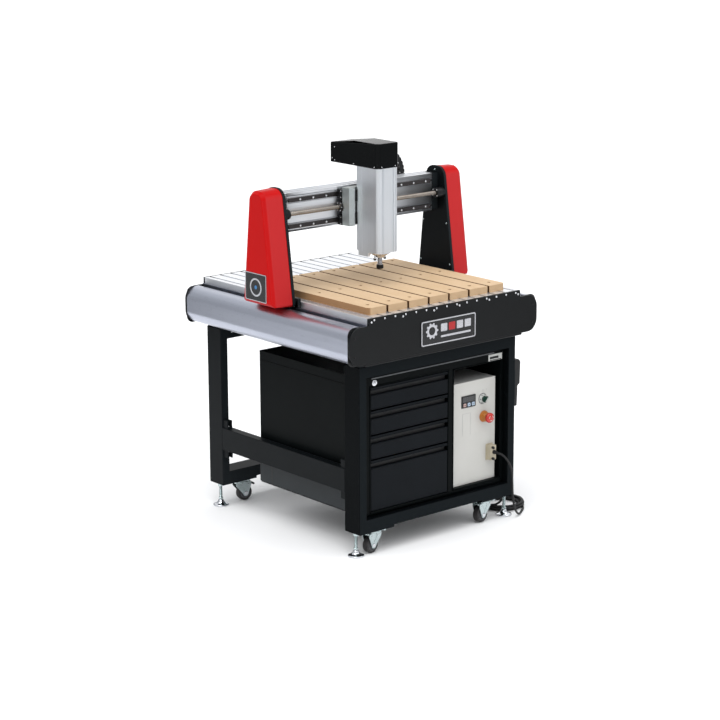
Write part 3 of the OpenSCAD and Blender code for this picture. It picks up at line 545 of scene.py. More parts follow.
for c, (x, y, d, pedal) in CASTERS.items():
    M = Matrix.Translation((x, y, 0)) @ Matrix.Rotation(math.radians(d), 4, "Z")
    body, wbody = "caster_" + c, "wheel_" + c
    k = Kit().at(M)
    # lower race and the crown of the fork
    k.lathe([(0, 75.2), (24, 75.2), (27.2, 76.6), (27.2, 79.4), (25, 81.0), (0, 81.0)], (0, 0, 0), (0, 0, 1), 40)
    k.lathe([(0, 81.0), (8, 81.0), (8, 84.4), (6, 85.4), (0, 85.4)], (0, 0, 0), (0, 0, 1), 24)
    top = rounded([(-19, -18, 9), (30, -18, 6), (46, -14, 8), (46, 14, 8), (30, 18, 6), (-19, 18, 9)], 5)
    k.prism(top, "z", 71.6, 75.4)
    side = rounded([(-18, 75, 3), (-19, 62, 10), (8, 30, 8), (14, 21, 6), (22, 18.6, 9), (30, 21, 6), (34, 32, 8), (45, 62, 8), (45, 75, 3)], 5)
    for s in (-1, 1):
        k.prism(side, "y", s * 14.9 if s > 0 else -17.8, 17.8 if s > 0 else -14.9)
        # pressed rib along the cheek
        k.prism(rounded([(-10, 68, 3), (-9, 62, 3), (14, 36, 4), (20, 42, 4), (4, 66, 4)], 4), "y", s * 17.0 if s > 0 else -18.6, 18.6 if s > 0 else -17.0)
    k.use(1)
    for s in (-1, 1):                                      # axle: head one side, nut the other
        k.lathe([(0, 0), (8.2, 0), (8.2, 1.2), (6.4, 1.6), (6.4, 2.4), (0, 2.4)], (22, s * 17.8, 31), (0, s, 0), 6 if s > 0 else 28)
        for px, pz in ((-12, 70), (32, 68), (6, 71)):
            k.lathe([(0, 0), (2.6, 0), (2.3, 1.0), (1.2, 1.6), (0, 1.7)], (px, s * 17.8, pz - 2), (0, s, 0), 14)
    k.rod((22, -17, 31), (22, 17, 31), 4.9)
    mats = [ZINC, CHROME]
    k.make("caster_fork_" + c + "_pressed", body, mats, 0.8, 2, slot="zinc", replaces="caster_fork_" + c)
    if pedal:
        k = Kit().at(M)
        k.prism(rounded([(30, 74.5, 2), (30, 69, 2), (44, 66, 3), (58, 58, 4), (64, 60, 3), (60, 66, 4), (48, 72.5, 4)], 4), "y", -13.5, 13.5)
        for i in range(4):
            k.box(47 + i * 4, 48.6 + i * 4, -11, 11, 70.6 - i * 2.3, 72.0 - i * 2.3)
        k.make("brake_pedal_" + c, body, PLASTIC, 1.0, 2, slot="black_plastic")
    k = Kit().at(M)
    ax = (0, 1, 0)
    o = (22, 0, 31)
    k.use(0).lathe([(21.5, -12.4), (25.5, -12.6), (28, -11.6), (29.5, -9.2), (30, -5), (30, 5), (29.5, 9.2), (28, 11.6), (25.5, 12.6), (21.5, 12.4), (20.5, 11), (20.5, -11), (21.5, -12.4)], o, ax, 64)
    k.use(1)
    for s in (-1, 1):
        k.lathe([(5.1, 0), (5.1, 13.2), (9.5, 13.2), (10.4, 12.2), (11.2, 8.4), (18.4, 8.8), (19.6, 11.8), (21.4, 12.0), (21.4, 0)], o, (0, s, 0), 48)
        for i in range(6):                                 # webs of the hub
            a = math.tau * i / 6 + 0.3
            u, w = Vector((math.cos(a), 0, math.sin(a))), Vector((-math.sin(a), 0, math.cos(a)))
            q = [Vector(o) + u * r + w * t + Vector((0, s * h, 0)) for r, t, h in ((10, -1.2, 11.2), (19, -1.2, 11.2), (19, 1.2, 11.2), (10, 1.2, 11.2))]
            q0 = [p - Vector((0, s * 3.2, 0)) for p in q]
            k.loft([q0, q])
    k.make("caster_wheel_" + c + "_tread", wbody, [TYRE, HUB], 0.25, 1, slot="tyre", replaces="caster_wheel_" + c)

# ---------------------------------------------------------------- bed
for n in ("front_end_plate", "rear_end_plate"):
    dress(n, PLATE, 1.6, 3)
dress("side_rails", ALU_Y, 0.5, 2)
dress("bed_planks", PLANK, 0.45, 1)
dress("spoilboard_slats", MDF, 1.0, 2)
dress("y_rails", STEEL, 0.5)
dress("y_drive", DARK, 0.8)
dress("gantry_underframe", MACHINED, 0.8)
slat_x = [i * 96.6 for i in range(-3, 4)]
k = Kit()                                                # thin dark brown sheets on the slat sides that face each other across the gaps: painted shade in the gaps between slats
for i in range(6):
    for x, d in ((slat_x[i] + 43.8, 1), (slat_x[i + 1] - 43.8, -1)):
        k.prism(rrect(-433.2, 872.3, 178.2, 895.9, 0.5, 2), "x", min(x, x + d * 0.5), max(x, x + d * 0.5))
k.make("slat_gap_painted_shade", "frame", MDF_GAP_PAINTED_SHADE, 0, slot="board")
k = Kit()                                                # edge profile under the outer planks
for s in (-1, 1):
    k.prism(rounded([(s * 366.2, 812, 0.6), (s * 369.4, 812, 0.6), (s * 369.4, 851, 0.4), (s * 366.2, 851, 0.4)][::s], 2), "y", -470, 470)
    k.prism(rounded([(s * 355, 812, 0.6), (s * 366.4, 812, 0.4), (s * 366.4, 814.5, 0.4), (s * 355, 814.5, 0.6)][::s], 2), "y", -470, 470)
k.make("bed_edge_profiles", "frame", ALU_Y, 0.2, 1, slot="rail_alu")
k = Kit()
for x in slat_x:
    for y in (-385, -119.5, 147):
        # countersunk head below the surface, with a hexagon socket
        k.lathe([(3.0, -13), (3.0, -6.4), (5.7, -3.4), (5.9, -2.8), (2.9, -2.8)], (x, y, 897), (0, 0, 1), 24)
        k.lathe([(2.9, -2.8), (2.7, -3.0), (2.7, -5.2), (0, -5.4)], (x, y, 897), (0, 0, 1), 6)
k.make("slat_screws", "frame", DARK, 0, slot="steel", replaces="deck_screws")
k = Kit()
for y, d in ((FRONT, -1), (REAR, 1)):
    for i in range(-7, 8):
        k.button_head((i * 48.3, y, 864.5), (0, d, 0), 3.6, 2.2)
    for x in (-350, -206, -61, 61, 206, 350):
        k.button_head((x, y, 858.5), (0, d, 0), 3.8, 2.4)
    for x in (-425, 425):
        for z in (745, 812):
            k.use(1).button_head((x, y, z), (0, d, 0), 4.2, 2.2)
            k.use(0)
k.make("end_plate_screws", "frame", [SCREW, DARK], 0.12, 1, slot="steel")
# T-nuts in the slots under the slats, as the CAD has them
k = Kit()
for x in slat_x:
    for y in (-385, -119.5, 147):
        k.box(x - 7.4, x + 7.4, y - 7.4, y + 7.4, 860.6, 865.3)
        k.rod((x, y, 861), (x, y, 885), 3.0, 14)
k.make("slat_t_nuts", "frame", ZINC, 0.4, 1, slot="steel")
# folded hem along the foot of both end plates, and seals beside the side rails
k = Kit()
for y, d in ((FRONT, 1), (REAR, -1)):
    k.prism(rounded([(y + d * 0.6, 711, 1.5), (y + d * 0.6, 703.5, 4), (y + d * 30, 703.5, 2), (y + d * 30, 706.5, 1), (y + d * 5, 706.5, 2), (y + d * 5, 711, 0.5)], 5), "x", -372, 372)
k.make("end_plate_hems", "frame", PLATE, 0.5, 2, slot="frame_black")


def end_shape(r, grow):
    """The outline of a side rail seen along the machine."""
    return rounded([(394, 711 - grow, 0.5), (448 + grow, 711 - grow, 46 + grow), (448 + grow, 847 + grow, 46 + grow), (394, 847 + grow, 0.5)], 12)


k = Kit()
for s in (-1, 1):
    pts = end_shape(46, 0.7)
    pts = [(s * x, z) for x, z in pts]
    for y0, y1 in ((-466, -464.4), (464.4, 466)):
        k.prism(pts, "y", y0, y1)
k.make("rail_gaskets", "frame", PLASTIC, 0.2, 1, slot="black_plastic")

# ---------------------------------------------------------------- badges (generic marks)
k = Kit()
k.use(0).prism(rrect(-125, 733, 140, 827, 9), "y", FRONT - 2.2, FRONT)
k.use(1)
outer, inner = rrect(-122, 736, 137, 824, 7.5, 6), rrect(-118.2, 739.8, 133.2, 820.2, 5, 6)
k.loft([[(x, FRONT - 2.1, z) for x, z in outer], [(x, FRONT - 3.0, z) for x, z in outer], [(x, FRONT - 3.0, z) for x, z in inner], [(x, FRONT - 2.1, z) for x, z in inner]], (False, False))
# a toothed ring, a bar of blocks and a thin line
cx, cz = -72, 786
teeth = []
for i in range(10):
    a = math.tau * i / 10
    for da, r in ((-0.17, 24), (-0.1, 29), (0.1, 29), (0.17, 24)):
        teeth.append((cx + r * math.cos(a + da), cz + r * math.sin(a + da)))
hole = [(cx + 15 * math.cos(math.tau * i / 40 - 0.17), cz + 15 * math.sin(math.tau * i / 40 - 0.17)) for i in range(40)]
k.loft([[(x, FRONT - 2.1, z) for x, z in teeth], [(x, FRONT - 2.9, z) for x, z in teeth], [(x, FRONT - 2.9, z) for x, z in hole], [(x, FRONT - 2.1, z) for x, z in hole]], (False, False))
for i, w in enumerate((30, 30, 30, 30)):
    x0 = -30 + i * 38
    k.use(2 if i == 1 else 1).prism(rrect(x0, 778, x0 + w, 806, 3), "y", FRONT - 2.9, FRONT - 2.1)
k.use(1).prism(rrect(-30, 757, 114, 764, 2.5), "y", FRONT - 2.9, FRONT - 2.1)
k.make("front_badge", "frame", [BADGE, BADGE_L, BADGE_R], 0.12, 1, slot="badge", replaces="front_badges")
k = Kit()
k.use(0).prism(rrect(262, 606, 332, 634, 2), "y", -417.2, -416)
k.use(1).prism(rrect(268, 617, 312, 626, 1.5), "y", -417.5, -417.1)
k.prism(rrect(268, 611, 326, 614, 1), "y", -417.5, -417.1)
k.make("cabinet_label", "frame", [WHITEP, BADGE], 0.1, 1, slot="badge")

# ---------------------------------------------------------------- gantry
dress("gantry_plates", BLACK, 1.0, 2)
COVER = [(-94, 855.6, 9), (93, 855.6, 9), (50, 1268.6, 39), (-38, 1268.6, 39)]
steps = [(389.5, 0.0), (391.5, 0.0), (458.5, 3.2), (460.3, 3.6), (462.2, 4.7), (468.6, 10.2), (470.8, 11.7), (472.6, 12.9), (473.6, 14.2), (474.0, 16.0)]
inner_steps = [(470.6, 17.0), (468.5, 13.0), (460.0, 6.8), (391.5, 3.2), (389.5, 3.2)]
for s, nm in ((-1, "left"), (1, "right")):
    k = Kit()
    rings = [[(s * x, y, z) for y, z in rounded(inset(COVER, d), 16)] for x, d in steps]
    k.use(0).loft(rings, (False, True))
    rings = [[(s * x, y, z) for y, z in rounded(inset(COVER, d), 16)] for x, d in inner_steps]
    k.use(1).loft(rings, (True, False))
    a = [(s * 389.5, y, z) for y, z in rounded(inset(COVER, 3.2), 16)]
    b = [(s * 389.5, y, z) for y, z in rounded(inset(COVER, 0.0), 16)]
    k.use(0).loft([a, b], (False, False))
    k.make("gantry_cover_" + nm, "gantry", [RED, RED_RIM], 0, slot="cover_red", replaces="gantry_covers")
    # side badge: dark square, pale border, plain ring and dot
    k = Kit()
    X = s * 474
    k.use(0).prism(rrect(-52, 872, 68, 973, 4), "x", min(X, X + s * 1.2), max(X, X + s * 1.2))
    for (a0, b0), h in (((0, 2.6), 1.7),):
        o1 = rrect(-52 + a0, 872 + a0, 68 - a0, 973 - a0, 4, 6)
        o2 = rrect(-52 + b0, 872 + b0, 68 - b0, 973 - b0, 2.5, 6)
        k.use(1).loft([[(X + s * 1.0, y, z) for y, z in o1], [(X + s * h, y, z) for y, z in o1], [(X + s * h, y, z) for y, z in o2], [(X + s * 1.0, y, z) for y, z in o2]], (False, False))
    ring = lambda r: [(X, 8 + r * math.cos(math.tau * i / 64), 922 + r * math.sin(math.tau * i / 64)) for i in range(64)]
    lift = lambda pts, h: [(X + s * h, y, z) for _, y, z in pts]
    k.loft([lift(ring(33), 1.0), lift(ring(33), 1.7), lift(ring(27), 1.7), lift(ring(27), 1.0)], (False, False))
    k.use(2).lathe([(0, 0.9), (7, 0.9), (7, 1.6), (6.4, 1.8), (0, 1.8)], (X, 8, 922), (s, 0, 0), 32)
    k.make("side_badge_" + nm, "gantry", [BADGE, BADGE_L, BADGE_B], 0.15, 1, slot="badge")
    # the button heads on the plate's inner face
    k = Kit()
    for y, z in ((6, 1256), (-60, 1059), (68, 1059), (-80, 905), (82, 905)):
        k.button_head((s * 378, y, z), (-s, 0, 0), 3.4, 2.0)
    k.make("plate_screws_" + nm, "gantry", ZINC, 0.1, 1, slot="zinc")
    # bearing flange of the cross screw on the inner flange, with its four screws
    k = Kit()
    bx, bd = (346, -32) if s > 0 else (-366, -12)        # short on the left
    k.use(0).lathe([(8.7, bd), (19, bd), (19, min(-4, bd + 18)), (17.5, max(bd + 20, -3)), (17.5, -2), (18.4, -1), (18.4, 2.6), (17.6, 3.4), (13, 3.4), (12, 4.6), (8.7, 4.6), (8.7, bd)], (bx, -34, 1176), (-s, 0, 0), 48)
    for i in range(4):
        a = math.tau * i / 4 + math.pi / 4
        k.use(1).button_head((bx - s * 3.3, -34 + 15.3 * math.cos(a), 1176 + 15.3 * math.sin(a)), (-s, 0, 0), 2.0, 1.2)
    k.make("screw_end_bearing_" + nm, "gantry", [DARK, SCREW], 0.2, 1, slot="dark_steel")
    # wiper foot that runs in the gap beside the planks
    k = Kit()
    k.prism(rounded([(-109, 853, 1.5), (-92, 853, 1), (-92, 886, 1), (-104, 886, 4)], 4), "x", min(s * 364, s * 378), max(s * 364, s * 378))
    k.make("wiper_foot_" + nm, "gantry", PLASTIC, 0.5, 1, slot="black_plastic")

F0 = -12.9
front = [(F0, 1106.6, 1.6)]
for z, w, d in ((1112.6, 2.0, 1.6), (1137.6, 1.6, 1.4), (1176.0, 26.0, 2.6), (1209.8, 1.6, 1.4), (1235.6, 2.0, 1.6)):
    front += [(F0, z - w / 2, 0.35), (F0 + d, z - w / 2, 0.35), (F0 + d, z + w / 2, 0.35), (F0, z + w / 2, 0.35)]
front += [(F0, 1247.3, 1.6)]
top = []
for y in (8.0, 32.0):
    top += [(y - 3, 1247.3, 0.3), (y - 3, 1243.5, 0.3), (y + 3, 1243.5, 0.3), (y + 3, 1247.3, 0.3)]
backs = [(50, 1247.3, 2)]
for z in (1216, 1136):
    backs += [(50, z + 3, 0.3), (46.5, z + 3, 0.3), (46.5, z - 3, 0.3), (50, z - 3, 0.3)]
backs += [(50, 1106.6, 2)]
k = Kit()
k.prism(rounded(front + top + backs, 2), "x", -346, 346)
k.make("gantry_beam_profile", "gantry", ALU_X, 0, slot="rail_alu", replaces="gantry_beam")
k = Kit()                                                # the beam's left end closes on the plate
k.prism(rounded(front + top + backs, 2), "x", -377.9, -346.05)
k.make("beam_end_sleeve_left", "gantry", ALU_X, 0, slot="rail_alu")
k = Kit()
for z in (1221.4, 1126.4):                               # linear rails: waisted profile with screws at their pitch
    prof = [(F0, z - 7.5, 0.4), (F0 - 2.8, z - 7.5, 0.5), (F0 - 4.2, z - 5.6, 1.0), (F0 - 6.4, z - 5.6, 1.0), (F0 - 7.8, z - 7.5, 0.7), (F0 - 10, z - 7.5, 1.0),
            (F0 - 10, z + 7.5, 1.0), (F0 - 7.8, z + 7.5, 0.7), (F0 - 6.4, z + 5.6, 1.0), (F0 - 4.2, z + 5.6, 1.0), (F0 - 2.8, z + 7.5, 0.5), (F0, z + 7.5, 0.4)]
    k.use(0).prism(rounded(prof, 3), "x", -345.5, 323)
    k.prism(rounded([(322.8, z - 7.5, 0), (330, z - 7.5, 6.6), (330, z + 7.5, 6.6), (322.8, z + 7.5, 0)], 8), "y", F0 - 10, F0)
    for i in range(-6, 7):
        x = 6.1 + i * 60
        if -345 < x < 328:
            k.use(2).lathe([(0, 0.1), (4.7, 0.1), (4.7, 0.25), (0, 0.3)], (x, F0 - 10, z), (0, -1, 0), 24)
            k.use(1).lathe([(3.7, 0.2), (3.7, 0.7), (3.3, 1.0), (1.9, 1.0)], (x, F0 - 10, z), (0, -1, 0), 20)
            k.lathe([(1.9, 1.0), (1.7, 0.9), (1.7, 0.4), (0, 0.35)], (x, F0 - 10, z), (0, -1, 0), 6)
    k.use(2).prism(rounded([(334, z - 3.2, 3), (346, z - 3.2, 0.4), (346, z + 3.2, 0.4), (334, z + 3.2, 3)], 5), "y", F0 - 0.5, F0 + 2)
k.make("cross_rails", "gantry", [RAIL, SCREW, DARK], 0, slot="dark_steel", replaces="x_rails")


def thread(k, p0, p1, r, lead, depth, n=24, per=10):
    """A rolled ball-screw thread: a rod whose radius dips along a helix."""
    p0, p1 = Vector(p0), Vector(p1)
    L, d = (p1 - p0).length, (p1 - p0).normalized()
    u = Vector((0, 1, 0)) if abs(d.x) > 0.9 else Vector((1, 0, 0))
    w = d.cross(u)
    m = int(L / lead * per)
    rings = []
    for i in range(m + 1):
        t = L * i / m
        ring = []
        for j in range(n):
            a = math.tau * j / n
            ph = (t / lead - a / math.tau) % 1.0
            g = max(0.0, 1 - (abs(ph - 0.5) / 0.26) ** 2)
            rr = r - depth * math.sqrt(g)
            if i in (0, m):
                rr = r - depth
            ring.append(p0 + d * t + (u * math.cos(a) + w * math.sin(a)) * rr)
        rings.append(ring)
    k.loft(rings)
    return k


k = Kit()
thread(k, (-345, -34, 1176), (345, -34, 1176), 8.0, 10.0, 1.0)
k.rod((-372.5, -34, 1176), (-344.5, -34, 1176), 7.0, 28, 0.6)
k.rod((344.5, -34, 1176), (400, -34, 1176), 7.0, 28, 0.6)
k.make("cross_ball_screw", "cross_screw", BRONZE, 0, slot="screw_bronze", replaces="x_screw")
k = Kit()
thread(k, (0, -440, 770), (0, 374, 770), 10.0, 10.0, 1.2, 20, 6)
k.rod((0, -465, 770), (0, -439.5, 770), 8.6, 24, 0.6)
k.rod((0, 373.5, 770), (0, 394, 770), 8.6, 24, 0.6)
k.make("long_ball_screw", "long_screw", BRONZE, 0, slot="screw_bronze", replaces="y_screw")
k = Kit()
thread(k, (-38.5, -67, 1104), (-38.5, -67, 1326), 6.0, 5.0, 0.7, 20, 6)
k.rod((-38.5, -67, 1102), (-38.5, -67, 1104.2), 5.0, 20, 0.5)
k.rod((-38.5, -67, 1325.6), (-38.5, -67, 1347), 5.0, 20, 0.5)
k.make("lift_ball_screw", "lift_screw", STEEL, 0, slot="steel", replaces="z_screw")
dress("x_motor", DARK, 1.2)
dress("chain_tray", BLACK, 0.8)

# ---------------------------------------------------------------- carriage
dress("x_carriage_block", MACHINED, 1.0)
dress("carriage_bearings", DARK, 0.8)
k = Kit()                                                # end seals, wipers, nut flange and screws on the carriage
for x0 in (-118, -28):
    for z in (1221.4, 1126.4):
        for xa, xb in ((x0 - 0.9, x0 + 3.2), (x0 + 56.8, x0 + 60.9)):
            k.use(1).prism(rrect(-46.5, z - 15.5, -27.4, z + 15.5, 2.5), "x", xa, xb)
            for zz in (z - 11, z + 11):
                k.use(2).button_head((xa if xa < x0 else xb, -38, zz), (-1 if xa < x0 else 1, 0, 0), 1.7, 0.8)
k.use(1).lathe([(8.7, 0), (19.4, 0), (19.4, 4), (18.6, 4.8), (8.7, 4.8), (8.7, 0)], (-119, -34, 1176), (-1, 0, 0), 40)
for i in range(6):
    a = math.tau * i / 6
    k.use(2).button_head((-123.8, -34 + 14.6 * math.cos(a), 1176 + 14.6 * math.sin(a)), (-1, 0, 0), 2.0, 1.2)
for z in (1125, 1235):                                   # screws on the carriage's right face
    k.use(2).button_head((34, -70, z), (1, 0, 0), 2.6, 1.5)
k.make("carriage_fittings", "carriage", [MACHINED, PLASTIC, SCREW], 0.25, 1, slot="machined_alu")
dress("chain_top_run", CHAIN, 0.6)


def links(k, path, w0, w1, h, gap=1.0):
    """Chain links: side plates, cross bars and pins along a path of (point, direction) in the X-Z plane."""
    for p, d in path:
        p, d = Vector(p), Vector(d).normalized()
        n = Vector((-d.z, 0, d.x))
        for ya, yb in ((w0, w0 + 3.2), (w1 - 3.2, w1)):
            pts = [(-7.4, -h * 0.38), (-4.6, -h * 0.5), (4.6, -h * 0.5), (7.4, -h * 0.38), (7.4, h * 0.38), (4.6, h * 0.5), (-4.6, h * 0.5), (-7.4, h * 0.38)]
            a = [p + d * u + n * v + Vector((0, ya - p.y, 0)) for u, v in pts]
            b = [p + d * u + n * v + Vector((0, yb - p.y, 0)) for u, v in pts]
            k.loft([a, b])
        for v in (-h * 0.42, h * 0.42):
            pts = [(-4.2, v - 1.1), (4.2, v - 1.1), (4.2, v + 1.1), (-4.2, v + 1.1)]
            k.loft([[p + d * u + n * q + Vector((0, w0 + 3 - p.y, 0)) for u, q in pts], [p + d * u + n * q + Vector((0, w1 - 3 - p.y, 0)) for u, q in pts]])
        for y, s in ((w0, -1), (w1, 1)):
            k.lathe([(0, 0), (2.6, 0), (2.2, 0.5), (0, 0.5)], p + d * 7.4 + Vector((0, y - p.y, 0)), (0, s, 0), 10)
    return k


k = Kit()
path = []
RC, XC, ZC = 106.5, 165.0, 1239.5
x = -12.0
while x < XC - 1:
    path.append(((x, 83, ZC + RC), (1, 0, 0)))
    x += 14.75
n_arc = 22
for i in range(n_arc + 1):
    a = math.pi / 2 - math.pi * i / n_arc
    path.append(((XC + RC * math.cos(a), 83, ZC + RC * math.sin(a)), (math.sin(a), 0, -math.cos(a))))
x = XC - 14.75
while x > -20:
    path.append(((x, 83, ZC - RC), (-1, 0, 0)))
    x -= 14.75
links(k, path, 66.4, 99.6, 20.0)
k.make("cable_carrier_loop", "carrier_loop", CHAIN, 0.4, 1, slot="black_plastic", replaces="chain_bend")

# ---------------------------------------------------------------- head
HX = -38.5
x0, x1 = HX - 48.5, HX + 48.5
col = [(x0 + 3.5, -205 + 4.5, 2.0), (x0 + 10, -205, 2.0)]
for gx, w, d in ((x0 + 24, 2.6, 3.0), (x0 + 28.5, 1.0, 0.8), (x1 - 29.5, 1.0, 0.8), (x1 - 24, 2.6, 3.0), (x1 - 12.5, 1.4, 1.6)):
    col += [(gx - w / 2, -205, 0.25), (gx - w / 2, -205 + d, 0.25), (gx + w / 2, -205 + d, 0.25), (gx + w / 2, -205, 0.25)]
col += [(x1 - 7, -205, 3.0), (x1, -205 + 7, 3.0)]
for gy in (-178, -118):
    col += [(x1, gy - 1.0, 0.2), (x1 - 1.2, gy - 1.0, 0.2), (x1 - 1.2, gy + 1.0, 0.2), (x1, gy + 1.0, 0.2)]
col += [(x1, -92, 1.5), (x0, -92, 1.5)]
for gy in (-118,):
    col += [(x0, gy + 0.8, 0.2), (x0 + 1.0, gy + 0.8, 0.2), (x0 + 1.0, gy - 0.8, 0.2), (x0, gy - 0.8, 0.2)]
col += [(x0, -205 + 10, 3.0)]
k = Kit()
k.prism(rounded(col, 3), "z", 1021, 1328)
k.make("head_column", "head", ALU_Z, 0.25, 1, slot="rail_alu", replaces="z_column")
dress("z_rails", ALU_Z, 0.6)
CAP = [(-90 + 13, -208, 3.5), (13 - 9, -208, 3.5), (13, -208 + 9, 3.5), (13, 55, 4), (-90, 55, 4), (-90, -208 + 13, 3.5)]
k = Kit()
o = rounded(CAP, 5)


def roof(y):
    return 1417.0 if y <= -76 else 1417.0 - 17.0 * (y + 76) / 131.0


# the skirt with its roof, edges rolled over, open underneath; ring heights follow the sloping roof
def cap_ring(d, drop):
    return [(x, y, roof(y) - drop) for x, y in rounded(inset(CAP, d), 5)]


rings = [[(x, y, 1328) for x, y in o], [(x, y, 1329.0) for x, y in o]]
rings += [cap_ring(d, drop) for d, drop in ((0.0, 3.6), (0.3, 2.2), (1.1, 1.0), (2.3, 0.25), (3.8, 0.0))]
k.loft(rings, (False, False))
# roof: two strips that meet at the fold, so each stays flat
inner = rounded(inset(CAP, 3.8), 5)
vs = [Vector((x, y, roof(y))) for x, y in inner]
ys = -76.0
cut = []
for i, p in enumerate(vs):
    q = vs[(i + 1) % len(vs)]
    cut.append(p)
    if (p.y - ys) * (q.y - ys) < 0:
        t = (ys - p.y) / (q.y - p.y)
        cut.append(Vector((p.x + (q.x - p.x) * t, ys, 1417.0)))
for part in ([p for p in cut if p.y <= ys + 1e-6], [p for p in cut if p.y >= ys - 1e-6]):
    k.f([k.v(p) for p in part])
bmesh.ops.remove_doubles(k.bm, verts=k.bm.verts, dist=1e-6)
bmesh.ops.recalc_face_normals(k.bm, faces=k.bm.faces)
cap = k.make("head_cap_shell", "head", GLOSSB, 0, slot="cap_black", replaces="head_cap", solidify=2.4)
k = Kit()
for y, z in ((-190, 1334), (-76, 1334), (30, 1336), (44, 1342), (30, 1384)):
    k.button_head((-90, y, z), (-1, 0, 0), 1.9, 1.1)
    k.button_head((13, y, z), (1, 0, 0), 1.9, 1.1)
for x in (-70, -7):
    k.button_head((x, -208, 1334), (0, -1, 0), 1.9, 1.1)
for x in (-78, 1):
    for z in (1340, 1388):
        k.button_head((x, 55, z), (0, 1, 0), 1.9, 1.1)
k.make("cap_screws", "head", SCREW, 0, slot="steel")
k = Kit()                                                # vent slots in the rear of the cap
for i in range(5):
    k.prism(rrect(-60, 1348 + i * 8, -17, 1351 + i * 8, 1.4), "y", 54.6, 55.25)
k.make("cap_vents", "head", PLASTIC, 0, slot="black_plastic")
dress("head_motors", DARK, 1.0)
c = (HX, -160, 0)
k = Kit()
k.use(0).lathe([(9.2, 1000), (16.0, 1000), (17.6, 1000.8), (18.0, 1002.4), (18.0, 1004.0), (21.5, 1006.5), (26.0, 1008.0), (29.5, 1011.0), (31.0, 1014.0), (36.6, 1015.2), (37.8, 1016.2), (37.8, 1021.0), (9.2, 1021.0), (9.2, 1000)], c, (0, 0, 1), 64)
k.use(1).lathe([(9.2, 1001.0), (13.2, 999.2), (14.4, 999.2), (14.4, 1001.0)], c, (0, 0, 1), 48)
for s in (-1, 1):
    q = (HX + s * 23.5, -160, 0)
    k.use(1).lathe([(2.4, 990.4), (4.5, 990.4), (5.1, 991.0), (5.1, 996.4), (2.4, 996.4)], q, (0, 0, 1), 28)
    k.lathe([(0, 992.6), (2.4, 992.6), (2.4, 990.4)], q, (0, 0, 1), 6)
    k.use(0).lathe([(0, 996.4), (6.3, 996.4), (6.6, 997.0), (6.6, 998.0), (3.2, 998.0), (3.2, 1010), (0, 1010)], q, (0, 0, 1), 28)
k.make("spindle_nose_ring", "head", [CHROME, DARK], 0.2, 1, slot="zinc", replaces="spindle_nose")
k = Kit()
k.use(0).lathe([(0, 1078), (8.4, 1078), (8.5, 1076), (8.5, 984.5), (8.1, 983.8), (8.5, 983.1), (8.5, 976), (10.2, 975), (10.2, 972.6), (3.3, 972.6), (3.3, 990), (0, 990)], c, (0, 0, 1), 40)
# collet nut: knurled collar, six flats, mouth with the collet's slits
n = 96
nut = []
for r, z in ((9.0, 972.6), (11.6, 972.4), (12.5, 971.4), (12.5, 966.4)):
    nut.append((r, z))
k.use(1).lathe([(3.3, 972.6)] + nut + [(11.3, 965.6), (11.3, 960.2), (10.4, 958.0), (8.0, 957.1), (6.2, 957.0), (5.6, 957.9), (3.4, 957.9), (3.3, 972.6)], c, (0, 0, 1), 48)
for i in range(12):
    a = math.tau * i / 12
    u, w = Vector((math.cos(a), math.sin(a), 0)), Vector((-math.sin(a), math.cos(a), 0))
    q = [Vector(c) + u * r + w * t for r, t in ((11.0, -1.5), (12.9, -1.1), (12.9, 1.1), (11.0, 1.5))]
    k.loft([[p + Vector((0, 0, 959.6)) for p in q], [p + Vector((0, 0, 970.6)) for p in q]])
for i in range(6):
    a = math.tau * i / 6 + 0.2
    u, w = Vector((math.cos(a), math.sin(a), 0)), Vector((-math.sin(a), math.cos(a), 0))
    q = [Vector(c) + u * r + w * t for r, t in ((3.4, -0.9), (5.6, -1.6), (5.6, 1.6), (3.4, 0.9))]
    k.use(0).loft([[p + Vector((0, 0, 957.3)) for p in q], [p + Vector((0, 0, 959)) for p in q]])
k.make("spindle_shaft_and_collet", "spindle", [STEEL, DARK], 0.15, 1, slot="dark_steel", replaces="collet_shaft")

# ---------------------------------------------------------------- tool cabinet and drawers
dress("toolbox_cabinet", CABB, 0.8, 2)
for i in (1, 2, 3, 4):
    dress("drawer_%d" % i, BLACK2, 1.0, 2)
CF = -416.0
k = Kit()                                                # raised frame round the face, folded seams on the shell
for a, b, c2, d in ((-336, -330, 141, 648), (330, 336, 141, 648)):
    k.prism(rrect(a, c2, b, d, 1.2), "y", CF - 2.2, CF + 0.5)
for z0, z1 in ((141, 147), (642, 648)):
    k.prism(rrect(-336, z0, 336, z1, 1.2), "y", CF - 2.2, CF + 0.5)
for a, b, c2, d in ((-309, -305, 149, 613), (65, 69, 149, 613), (87, 91, 153, 610), (326, 330, 153, 610)):
    k.prism(rrect(a, c2, b, d, 1.2), "y", CF - 1.4, CF + 0.5)
for a, b, z0, z1 in ((-309, 69, 149, 152.5), (-309, 69, 609.5, 613), (87, 330, 153, 157), (87, 330, 606, 610)):
    k.prism(rrect(a, z0, b, z1, 1.2), "y", CF - 1.4, CF + 0.5)
k.make("cabinet_face_beads", "frame", CABB, 0.7, 2, slot="frame_black")
k = Kit()
for s in (-1, 1):                                        # side panels: folded lip, lower access panel with a slot, seams
    x = s * 335
    k.use(0).prism(rrect(-404, 604, 172, 607, 1.2), "x", min(x, x + s * 1.4), max(x, x + s * 1.4))
    k.use(1).prism(rrect(-404, 144, 172, 224, 3), "x", min(x, x + s * 5.4), max(x, x + s * 5.4))
    k.use(0)
    for y in (-398, 168):
        k.button_head((x + s * 0.2, y, 622), (s, 0, 0), 3.2, 1.6)
for x in (-318, -160, 0, 160, 318):
    for y in (-398, 158):
        k.button_head((x, y, 641), (0, 0, 1), 3.4, 1.8)
k.make("cabinet_shell_folds", "frame", [CABB, PANEL], 0.8, 2, slot="frame_black")
k = Kit()
